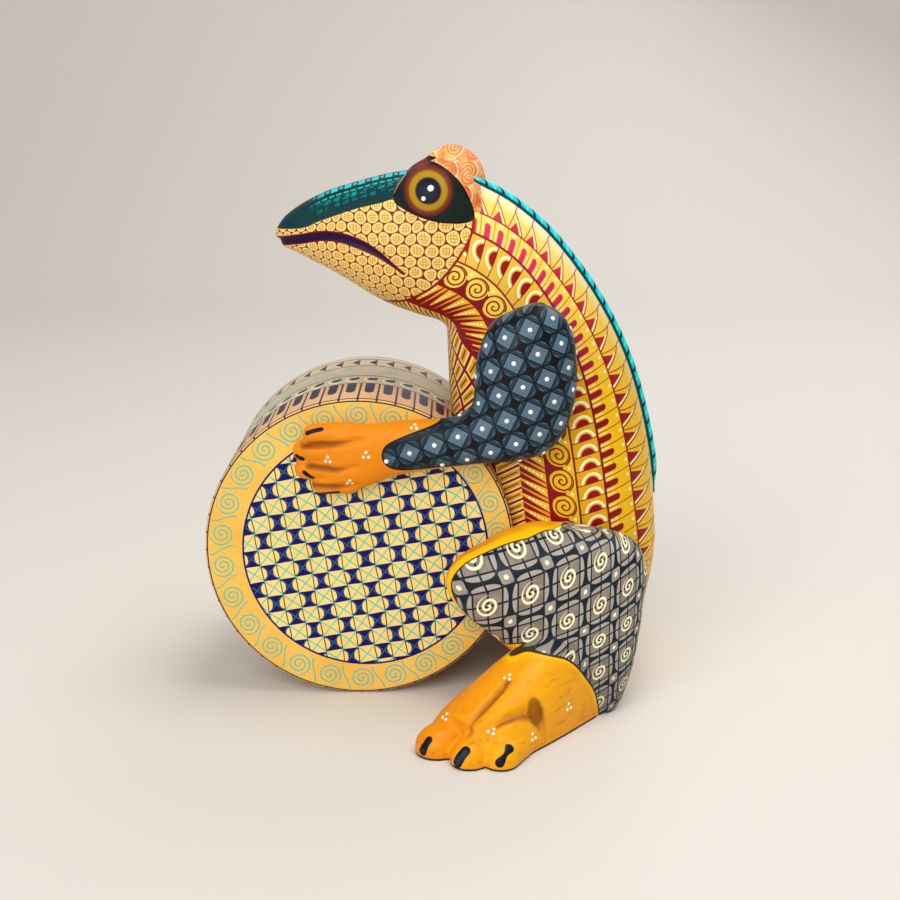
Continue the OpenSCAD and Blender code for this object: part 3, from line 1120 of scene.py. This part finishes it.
def paint_bill(paint, bill, y):
    """Dark beak with rows of turquoise marks along the top of the snout."""
    _, _, drop = paint.numbers("face")
    rough = paint.noise(paint.join(y * 0.3, drop * 2.0), 0.6, 2.0)
    patchy = paint.noise(paint.join(y * 0.5, drop * 1.6), 0.5, 1.0)
    paint.lay(bill, paint.mix(rough, srgb(6, 40, 44), srgb(16, 66, 68)))
    rear = blend(y, -52.0, -44.0)
    faint = blend(patchy, 0.4, 0.56)
    blocks = most(size_of(drop - 6.9) - 1.0, size_of(cell(y + drop * 0.3, 3.6)) - 1.3)
    paint.fill(blocks, srgb(10, 140, 135), bill * rear * faint, soft=0.4)
    blocks = most(size_of(drop - 9.4) - 0.8, size_of(cell(y + 1.8, 3.6)) - 1.1)
    paint.fill(blocks, srgb(10, 130, 126), bill * rear * faint * 0.6, soft=0.5)
    dashes = most(size_of(drop - 4.9) - 0.42, size_of(cell(y, 2.9)) - 1.0)
    paint.fill(dashes, srgb(20, 185, 160), bill * rear, soft=0.3)
    paint.fill(size_of(drop - 3.7) - 0.35, srgb(10, 20, 60), bill * rear)
    squares = most(size_of(drop - 1.7) - 1.2, size_of(cell(y, 5.5)) - 1.35)
    small = most(size_of(drop - 1.7) - 0.7, size_of(cell(y + 2.75, 5.5)) - 0.6)
    paint.fill(least(squares, small), srgb(0, 206, 210), bill * rear, soft=0.3)


def paint_head(paint):
    """Scales on the face, a dark beak with rows of dashes, and the eyes."""
    x, y, z = paint.numbers("spot")
    head, beak, patch = paint.numbers("marks_1")
    mouth, mound, above = paint.numbers("marks_2")
    _, _, from_chin = paint.numbers("edges_2")
    spot = paint.join(x, y, z)
    face = within(head)
    paint_scales(paint, face, spot)
    paint.fill(from_chin - 3.4, srgb(214, 140, 30), face, soft=0.8)
    paint.fill(size_of(head + 0.2) - 0.5, srgb(140, 16, 18))
    paint_bill(paint, within(beak), y)

    # Mouth
    lips = within(mouth, 0.3)
    paint.fill(mouth - 0.5, srgb(120, 14, 20), face)
    paint.lay(lips * face, srgb(36, 0, 48))

    # Eye mound: warm pink and orange, with thin spirals
    dome = within(most(mound, -above, -patch))
    glow = paint.noise(spot, 0.16, 2.0)
    paint.lay(dome, paint.mix(blend(glow, 0.36, 0.64), srgb(236, 116, 62), srgb(252, 200, 112)))
    u = cell(y - z * 0.35 + 2.0, 9.0)
    v = cell(z + y * 0.25 + 1.0, 8.0)
    paint.fill(spiral(u, v, 1.35, 3.9, 0.17, 0.1), srgb(216, 78, 36), dome)
    paint.fill(most(size_of(reach(u, v) - 4.3) - 0.16, -u), srgb(250, 236, 196), dome)

    # Eye patch, rings and pupil
    paint.fill(patch, paint.mix(paint.noise(spot, 0.5, 3.0), srgb(10, 26, 22), srgb(24, 44, 36)))
    paint.fill(most(size_of(patch + 0.35) - 0.4, patch), BLACK)
    far = reach(y - EYE[0], z - EYE[1])
    inside = within(patch + 0.6)
    for radius, colour, soft in (
        (9.7, srgb(92, 28, 28), 0.5),
        (9.0, srgb(124, 46, 34), 0.8),
        (7.9, srgb(110, 88, 24), 0.4),
    ):
        paint.fill(far - radius, colour, inside, soft)
    paint.fill(most(far - 7.4, 5.0 - far), srgb(176, 132, 20), soft=0.8)
    paint.fill(far - 5.2, srgb(104, 84, 20), soft=0.3)
    paint.fill(far - 4.8, srgb(7, 8, 34), soft=0.25)


def body_paint():
    paint = Paint("body_paint")
    paint_bands(paint)
    paint_head(paint)
    return paint.varnish(roughness=0.42, coat=0.05)


def orange_skin(paint, spot, depth, dark):
    """Orange that turns from yellow at the top, brushed on in streaks, with brown painted shade in the
    hollows.
    """
    streak = paint.noise(spot, 0.16, 4.0)
    colour = paint.mix(depth, srgb(250, 176, 14), srgb(228, 128, 4))
    colour = paint.mix(blend(streak, 0.35, 0.7) * 0.55, colour, srgb(238, 150, 10))
    paint.colour = paint.mix(dark, colour, srgb(132, 68, 6))


def arm_paint():
    """Orange hand, and a slate patch with its lattice."""
    paint = Paint("arm_paint")
    x, y, z = paint.numbers("spot")
    flat_y, flat_z, slate = paint.numbers("flat")
    creases = paint.number("creases")
    nails = paint.number("nails")
    brushed = paint.join(y * 0.35, z * 1.6, x)
    # Painted shade: brown in the grooves between the fingers
    crease_shade = blend(creases + paint.noise(brushed, 0.8, 2.0) * 1.4, 2.6, 1.1)
    orange_skin(paint, brushed, blend(z - y * 0.35, 138.0, 108.0), crease_shade * 0.85)

    # Slate patch: a turned lattice of black lines with a pale diamond in each cell
    u, v = slate_places(flat_y, flat_z)
    inside = within(slate)
    hatch = paint.noise(paint.join(u * 0.4, v * 3.0), 1.2, 2.0)
    paint.lay(inside, paint.mix(hatch, srgb(20, 42, 54), srgb(46, 70, 82)))
    a = cell(u, SLATE_PITCH)
    b = cell(v, SLATE_PITCH)
    half = SLATE_PITCH / 2
    p, q = turned(a, b, 45)
    corner_a = half - size_of(a)
    corner_b = half - size_of(b)
    wedge = most(corner_a + corner_b - 3.4, 0.9 - corner_a, 0.9 - corner_b)
    paint.fill(wedge, srgb(78, 98, 112), inside)
    diamond = most(size_of(p), size_of(q)) - 3.2
    paint.fill(diamond, paint.mix(hatch, srgb(58, 84, 102), srgb(106, 130, 146)), inside)
    paint.fill(least(size_of(size_of(p) - 3.2), size_of(size_of(q) - 3.2)) - 0.24, BLACK, inside)
    paint.fill(least(corner_a, corner_b) - 0.3, BLACK, inside)
    star = corner_a + corner_b - 2.7
    paint.fill(star, BLACK, inside)
    # Painted shade: the slate patch darkens towards its edge
    paint.lay(blend(slate, -6.0, -0.5) * inside * 0.7, srgb(16, 34, 42))
    paint.fill(size_of(slate + 0.15) - 0.35, BLACK)
    paint.fill(nails, BLACK)
    return paint.varnish(roughness=0.44, coat=0.05)


def slate_places(y, z):
    """Places on the arm in the turned lattice of its pattern, for a material or for an array."""
    u, v = turned(y, z, SLATE_TURN)
    return u + SLATE_SHIFT[0], v + SLATE_SHIFT[1]


def leg_places(u, v):
    """Places on the thigh in its pattern's cells, which crowd together behind and below."""
    w = u - 28.0
    a = w + w * w * 0.0056
    b = v - a * 0.38
    a = a + most(b - 62.0, 0.0) * 0.4 - 0.6
    b = b * 1.28 - b * b * 0.0036 - 1.1
    return a, b


def leg_paint():
    """Orange foot, and a grey thigh with a spiral in each cell."""
    paint = Paint("leg_paint")
    u, v, _ = paint.numbers("flat")
    shank, front, _ = paint.numbers("patch")
    side, distance, z = paint.numbers("foot")
    crease, notch, nails = paint.numbers("hollows")
    brushed = paint.join(side * 1.2, distance * 0.25, z * 1.2)
    streak = paint.noise(brushed, 0.5, 3.0)
    orange_skin(paint, brushed, blend(side * 0.9 - z * 0.5, -26.0, 4.0), 0.0)
    paint.lay(blend(streak, 0.56, 0.72) * blend(z, 34.0, 20.0) * 0.45, srgb(186, 92, 6))
    # Painted shade: brown in the grooves between the toes and in the knife notch
    paint.lay(blend(crease + streak * 1.6, 3.0, 1.0) * blend(z, 34.0, 26.0) * 0.85, srgb(134, 66, 8))
    paint.lay(blend(notch + streak * 1.6, 3.4, 2.9) * blend(z, 34.0, 26.0) * 0.8, srgb(134, 76, 10))
    # Painted shade: a dark line along the bottom, where the foot meets the floor
    paint.fill(z - 0.9, srgb(48, 20, 12), soft=0.5)

    # Grey thigh with its yellow rim
    thigh = within(most(shank, front))
    paint.fill(most(shank - 0.9, front - 4.2), srgb(252, 196, 8), soft=1.6)
    a, b = leg_places(u, v)
    s = cell(a, LEG_PITCH)
    t = cell(b, LEG_PITCH)
    half = LEG_PITCH / 2
    paint.lay(thigh, srgb(20, 33, 42))
    stain = paint.noise(paint.join(u, v), 0.22, 3.0)
    line = paint.noise(paint.join(u * 0.5, v * 3.0), 1.0, 2.0)
    far = paint.math("POWER", size_of(s) / 7.7, 2.7) + paint.math("POWER", size_of(t) / 7.7, 2.7)
    blob = (paint.math("POWER", far, 1 / 2.7) - 1.0) * 7.7
    pale = paint.mix(line, srgb(150, 140, 130), srgb(190, 182, 172))
    brown = paint.mix(stain, srgb(96, 82, 74), srgb(170, 158, 146))
    paint.fill(blob, pale, thigh)
    paint.fill(most(blob + 0.01, size_of(s) - 5.3, size_of(t) - 5.3), brown, thigh)
    corner_s = half - size_of(s)
    corner_t = half - size_of(t)
    tile = reach(most(corner_s - 1.4, 0.0), most(corner_t - 1.4, 0.0)) - 1.0
    paint.fill(tile, paint.mix(stain, srgb(130, 122, 114), srgb(176, 168, 158)), thigh)
    paint.fill(reach(corner_s, corner_t) - 0.9, CREAM, thigh)
    cross = least(size_of(s), size_of(t)) - 0.38
    bars = least(size_of(size_of(s) - 5.5), size_of(size_of(t) - 5.5)) - 0.34
    paint.fill(most(least(cross, bars), blob), srgb(24, 24, 32), thigh)
    paint.fill(spiral(s, t, 2.2, 4.1, 0.5, 0.2, -1.0), CREAM, thigh)
    # Painted shade: the thigh darkens towards its lower part
    paint.lay(blend(z, 36.0, 10.0) * thigh * 0.3, srgb(40, 36, 40))
    paint.fill(size_of(most(shank, front)) - 0.3, srgb(66, 42, 18))
    paint.fill(nails - 0.7, BLACK)
    paint.fill(nails + 0.3, srgb(22, 48, 70), soft=0.3)
    return paint.varnish(roughness=0.4, coat=0.08)


def drum_paint():
    """Checked head, ring of spirals and banded shell."""
    paint = Paint("drum_paint")
    x, y, z = [place * (1 / MM) for place in paint.split(paint.own_place())]
    y = y - DRUM_Y
    z = z - DRUM_Z
    far = reach(y, z)
    angle = paint.math("ARCTAN2", z, y) * (1 / TAU) + 0.5
    stain = paint.noise(paint.join(y, z, x), 0.05, 3.0)
    grain = paint.noise(paint.join(y * 0.3, z * 2.0, x), 0.3, 3.0)

    # Drum head: checks of cream crosses and navy hourglasses
    paint.colour = paint.mix(stain, srgb(250, 206, 96), srgb(252, 226, 150))
    wobble = paint.noise(paint.join(y, z), 0.07, 1.0) * 2.4
    a, b = turned(y + wobble, z + wobble * 0.6, 9)
    row = CHECK_PITCH * 1.03
    s = cell(a, CHECK_PITCH)
    t = cell(b, row)
    dark = odd(paint.math("FLOOR", a / CHECK_PITCH) + paint.math("FLOOR", b / row) + 100.0)
    waist = 2.35 - reach((size_of(s) - CHECK_PITCH / 2) * 1.25, t * 0.95)
    paint.fill(waist, NAVY, dark)
    paint.fill(size_of(size_of(s) - 3.28) - 0.22, srgb(40, 14, 44))
    crosses = size_of(size_of(s) - size_of(t)) - 0.42
    paint.fill(crosses, srgb(116, 200, 176), 1.0 - dark * 0.85)
    from_middle = reach(y - 2.2, z) - DRUM_RADIUS * 0.79
    paint.fill(size_of(from_middle) - 0.4, NAVY)

    # Ring of joined spirals
    ring = within(0.4 - from_middle)
    paint.lay(ring, paint.mix(stain, srgb(240, 170, 50), srgb(252, 208, 104)))
    centre = DRUM_RADIUS * 0.895
    pitch = TAU * centre / SPIRALS_ROUND
    s = cell(angle * SPIRALS_ROUND, 1.0) * pitch
    t = far - centre
    paint.fill(spiral(s, t, 1.9, 4.9, 0.34, 0.1), TURQUOISE, ring)
    swing = paint.math("SINE", t * (math.pi / 9.6)) * 1.9
    link = most(size_of(pitch / 2 - size_of(s) + swing * paint.math("SIGN", s)) - 0.34, size_of(t) - 4.9)
    paint.fill(link, TURQUOISE, ring)
    paint.fill(size_of(far - DRUM_RADIUS + 0.9) - 0.3, srgb(50, 34, 28))
    paint_shell(paint, x, far, angle, stain, grain)
    return paint.varnish(roughness=0.44, coat=0.05)


def paint_shell(paint, x, far, angle, stain, grain):
    """The drum's curved side, in bands from each head."""
    shell = within(DRUM_RADIUS - 0.6 - far)
    depth = 2 * DRUM_END
    along = DRUM_END - x
    share = along / depth
    pitch = TAU * DRUM_RADIUS / KEYHOLES_ROUND
    s = cell(angle * KEYHOLES_ROUND, 1.0) * pitch
    paint.lay(shell, paint.mix(grain, srgb(196, 178, 150), srgb(226, 208, 172)))
    first = within(share - 0.34, 0.01)
    peach = paint.mix(stain, srgb(222, 158, 108), srgb(236, 200, 138))
    paint.lay(first * shell, peach)
    paint.fill(size_of(size_of(s) - pitch / 2) - 0.42, DARK_LINE, first * shell)
    key = most(size_of(s) - 1.9, along - depth * 0.345, reach(s * 4.2, along - depth * 0.3) - depth * 0.16)
    paint.fill(key, INK, first * shell)
    second = within(size_of(share - 0.43) - 0.09, 0.01)
    oval = reach(s, (along - depth * 0.45) * 0.75) - 2.5
    paint.fill(oval, INK, second * shell)
    scallop = size_of(reach(s * 0.9 + 0.6, (along - depth * 0.43) * 0.75) - 3.0) - 0.55
    paint.fill(most(scallop, -1.2 - s), srgb(240, 228, 190), second * shell)
    third = within(size_of(share - 0.64) - 0.12, 0.01)
    cloud = paint.noise(paint.join(angle * 60.0, along * 0.1), 1.4, 2.0)
    paint.lay(blend(cloud, 0.5, 0.66) * third * shell * 0.6, srgb(120, 190, 176))
    fourth = within(size_of(share - 0.84) - 0.085, 0.01)
    across = size_of(along - depth * 0.84)
    dart = most(size_of(s + across * 0.35 - 1.2) + across * 0.3 - 1.7, across - depth * 0.08)
    paint.fill(dart, INK, fourth * shell)
    for place in SHELL_LINES:
        paint.fill(size_of(along - depth * place) - 0.45, DARK_LINE, shell)


def strip_paint():
    """The raised line down the back: bright twisted strokes with slanted dark gaps."""
    paint = Paint("ridge_paint")
    run, around, _ = paint.numbers("strip")
    tone = paint.noise(paint.join(run * 2.0, around), 0.4, 2.0)
    paint.colour = paint.mix(tone, srgb(0, 190, 205), srgb(10, 226, 230))
    stroke = size_of(cell(run + around * 1.5 + 1.9, 3.8)) - 0.5
    paint.fill(stroke, srgb(90, 240, 235), soft=0.4)
    gap = size_of(cell(run + around * 1.5, 7.6)) - 0.75
    paint.fill(gap, srgb(8, 30, 70), soft=0.4)
    paint.lay(blend(size_of(around), 1.95, 2.15), srgb(8, 60, 74))
    return paint.varnish(roughness=0.4, coat=0.06)


def dot_paint():
    paint = Paint("dot_paint")
    speck = paint.noise(paint.own_place(), 900.0, 2.0)
    paint.colour = paint.mix(speck, srgb(240, 236, 224), WHITE)
    return paint.varnish(roughness=0.4, coat=0.1)


def wood_paint():
    paint = Paint("peg_wood")
    x, y, z = paint.split(paint.own_place())
    grain = paint.noise(paint.join(x * 60.0, y * 900.0, z * 900.0), 1.0, 3.0)
    paint.colour = paint.mix(grain, srgb(186, 142, 92), srgb(222, 184, 134))
    return paint.varnish(roughness=0.6, coat=0.0)


# --- Small raised pieces ---

def dome(centre, normal, radius):
    """A drop of thick paint."""
    normal = Vector(normal).normalized()
    side = normal.orthogonal().normalized()
    other = normal.cross(side)
    rings = []
    for level in (-0.5, 0.0, 0.45, 0.75, 0.95):
        width = radius * math.sqrt(1 - level * level)
        around = np.outer(np.cos(turns(10)), side) + np.outer(np.sin(turns(10)), other)
        rings.append(np.array(centre) + np.array(normal) * level * radius * 0.6 + width * around)
    return skin(rings)


def dots_on(name, wanted):
    """One mesh of paint drops; wanted gives a place, the way out and a radius for each."""
    return mesh_piece(name, *[dome(*drop) for drop in wanted])


def lattice_dots(piece, a, b, pitch, allowed, radius):
    """A drop at the vertex nearest to the middle of each of a lattice's cells."""
    points, out = places(piece), normals(piece)
    wanted = []
    cells = np.column_stack([np.floor(a / pitch), np.floor(b / pitch)]).astype(int)
    gap = np.hypot(a - (cells[:, 0] + 0.5) * pitch, b - (cells[:, 1] + 0.5) * pitch)
    gap = np.where(allowed, gap, 99)
    for place in sorted({tuple(c) for c in cells[gap < 0.7]}):
        nearest = int(np.argmin(np.where((cells == place).all(axis=1), gap, 99)))
        wanted.append((points[nearest], out[nearest], radius))
    return wanted


def near_dots(piece, places_at_rest, spots, radius, spread):
    """Three small drops round each spot, level with the surface there."""
    points, out = places(piece), normals(piece)
    wanted = []
    for spot in spots:
        middle = int(np.argmin(np.linalg.norm(places_at_rest - spot, axis=1)))
        up = np.array([0.0, 0.0, 1.0])
        up = up - out[middle] * out[middle][2]
        up = up / np.linalg.norm(up)
        across = np.cross(out[middle], up)
        for angle in (90, 210, 330):
            turn = math.radians(angle)
            place = points[middle] + spread * (up * math.sin(turn) + across * math.cos(turn))
            nearest = int(np.argmin(np.linalg.norm(points - place, axis=1)))
            place = place + out[nearest] * ((points[nearest] - place) @ out[nearest])
            wanted.append((place, out[nearest], radius))
    return wanted


def eye_glints(torso):
    """Two drops on each pupil."""
    points, out = places(torso), normals(torso)
    wanted = []
    for side in (1, -1):
        other_side = np.where(points[:, 0] * side > 5, 0, 99)
        for y, z, radius in GLINTS:
            nearest = int(np.argmin(np.hypot(points[:, 1] - y, points[:, 2] - z) + other_side))
            wanted.append((points[nearest], out[nearest], radius))
    return wanted


def ridge_strip():
    """A tapered strip down the middle of the back, laid on the body's crest."""
    stations = np.arange(int(4.75 * SPINE_STEPS), int(11.5 * SPINE_STEPS) + 1)
    back = SPINE.rows[stations, 0:2]
    way = np.gradient(back, axis=0)
    way = way / np.linalg.norm(way, axis=1)[:, None]
    out = np.column_stack([way[:, 1], -way[:, 0]])
    length = np.concatenate([[0], np.cumsum(np.linalg.norm(np.diff(back, axis=0), axis=1))])
    size = 0.2 + 0.8 * ease(length, 0, 14) * ease(length[-1] - length, 0, 7)
    lift = CREST * ridge_part(stations / SPINE_STEPS) + 0.25
    angles = turns(STRIP_POINTS)
    rings, runs, rounds = [], [], []
    for i, base in enumerate(back):
        centre = base + out[i] * lift[i]
        x = STRIP_HALF_WIDTH * size[i] * np.cos(angles)
        rise = STRIP_HALF_HEIGHT * size[i] * np.sin(angles)
        rings.append(np.column_stack([x, centre[0] + out[i][0] * rise, centre[1] + out[i][1] * rise]))
        runs.append(np.full(STRIP_POINTS, length[i]))
        rounds.append(np.cos(angles) * STRIP_HALF_WIDTH)
    piece = mesh_piece("ridge_strip", skin(rings))
    runs = np.concatenate([*runs, [length[0], length[-1]]])
    rounds = np.concatenate([*rounds, [0, 0]])
    store(piece, "strip", runs, rounds)
    return piece


def turned_drum():
    """The drum with softly worn rims."""
    worn = 1.4
    turn = np.linspace(0, math.pi / 2, 7)
    face = [(DRUM_END, radius) for radius in np.linspace(2, DRUM_RADIUS - worn - 1, 20)]
    rim = np.column_stack([DRUM_END - worn * (1 - np.cos(turn)), DRUM_RADIUS - worn * (1 - np.sin(turn))])
    near = face + [tuple(place) for place in rim]
    shell = [(x, DRUM_RADIUS) for x in np.linspace(DRUM_END - worn - 1, 1 + worn - DRUM_END, 30)]
    rings = []
    for x, radius in near + shell + [(-x, radius) for x, radius in reversed(near)]:
        y = DRUM_Y + radius * np.cos(turns(240))
        z = DRUM_Z + radius * np.sin(turns(240))
        rings.append(np.column_stack([np.full(240, x), y, z]))
    return mesh_piece("drum_carving", skin(rings[::-1]))


# --- The object ---

def stand_for(piece, node, material):
    """Paints a piece and has it ride in place of its CAD node."""
    piece.data.materials.clear()
    piece.data.materials.append(material)
    finish_mesh(piece)
    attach(piece, BODY)
    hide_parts(node)


def build():
    room = drum_room()
    ground = floor_room()
    body_coat, arm_coat, leg_coat, white = body_paint(), arm_paint(), leg_paint(), dot_paint()

    torso = carve_torso()
    cut(torso, room)
    torso_measures(torso)
    stand_for(torso, "body", body_coat)
    stand_for(ridge_strip(), "body", strip_paint())
    stand_for(turned_drum(), "drum", drum_paint())

    left_arm = carve_arm()
    lowered = swing_down(places(left_arm), RIGHT_ARM_SWING)
    right_arm = right_twin(left_arm, "right_arm_carving", lowered)
    left_leg = carve_leg()
    right_leg = right_twin(left_leg, "right_leg_carving", places(left_leg))

    for piece, side in ((left_arm, "left"), (right_arm, "right")):
        cut(piece, torso)
        cut(piece, room)
        points = places(piece)
        if side == "right":
            points = swing_down(to_right(points), -RIGHT_ARM_SWING)
        flat, slate = arm_measures(piece, points)
        a, b = slate_places(flat[:, 0], flat[:, 1])
        allowed = (slate < -0.9) & (points[:, 0] > 44)
        wanted = lattice_dots(piece, a, b, SLATE_PITCH, allowed, radius=0.95)
        wanted += near_dots(piece, points, HAND_DOTS, radius=0.66, spread=1.2)
        stand_for(dots_on(f"{side}_arm_dots", wanted), f"{side}_arm", white)
        stand_for(piece, f"{side}_arm", arm_coat)

    for piece, side in ((left_leg, "left"), (right_leg, "right")):
        cut(piece, torso)
        cut(piece, room)
        cut(piece, ground)
        points = places(piece)
        if side == "right":
            points = to_right(points)
        leg_measures(piece, points)
        wanted = near_dots(piece, points, FOOT_DOTS, radius=0.68, spread=1.35)
        stand_for(dots_on(f"{side}_leg_dots", wanted), f"{side}_leg", white)
        stand_for(piece, f"{side}_leg", leg_coat)

    stand_for(dots_on("eye_glints", eye_glints(torso)), "body", white)
    remove(room)
    remove(ground)


def bare_pegs():
    """Plain wood for the pegs of the CAD model."""
    wood = wood_paint()
    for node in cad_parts.values():
        if "peg" in node.name:
            for slot in node.material_slots:
                slot.material = wood


# --- Floor, lights and camera ---

def studio():
    turning = np.linspace(0, math.pi / 2, 40)
    bend = [(-0.9 - 0.6 * math.sin(turn), 0.6 - 0.6 * math.cos(turn)) for turn in turning]
    outline = [(4.0, 0.0), *bend, (-1.5, 4.0)]
    corners = [(x, y, z) for x, z in outline for y in (-4.0, 4.0)]
    sheets = [(2 * i, 2 * i + 1, 2 * i + 3, 2 * i + 2) for i in range(len(outline) - 1)]
    mesh = bpy.data.meshes.new("floor")
    mesh.from_pydata(corners, [], sheets)
    mesh.polygons.foreach_set("use_smooth", [True] * len(mesh.polygons))
    floor = new_object("floor", mesh)
    ground = bpy.data.materials.new("pale_floor")
    ground.use_nodes = True
    shader = ground.node_tree.nodes["Principled BSDF"]
    shader.inputs["Base Color"].default_value = srgb(222, 215, 205)
    shader.inputs["Roughness"].default_value = 0.6
    mesh.materials.append(ground)
    world = bpy.data.worlds.new("soft_room")
    bpy.context.scene.world = world
    world.use_nodes = True
    world.node_tree.nodes["Background"].inputs[0].default_value = srgb(232, 236, 242)
    world.node_tree.nodes["Background"].inputs[1].default_value = 0.45
    lights = [
        ("window_light", (1.1, -0.5, 0.8), 1.2, 14),
        ("room_light", (0.1, 0.4, 1.4), 0.9, 9),
        ("back_light", (-0.9, 0.5, 0.9), 1.0, 5),
    ]
    aim = Vector((0, 0, 0.1))
    for name, place, size, power in lights:
        light = bpy.data.lights.new(name, "AREA")
        light.size = size
        light.energy = power
        lamp = new_object(name, light)
        lamp.location = place
        lamp.rotation_euler = (aim - lamp.location).to_track_quat("-Z", "Y").to_euler()


def camera():
    data = bpy.data.cameras.new("camera")
    data.lens = 58.8
    data.sensor_width = 36
    eye = new_object("camera", data)
    eye.location = (0.6011, 0.0051, 0.2531)
    eye.rotation_euler = (math.radians(75), 0, math.radians(90))
    bpy.context.scene.camera = eye


build()
bare_pegs()
studio()
camera()
bpy.context.scene.view_settings.view_transform = "Standard"
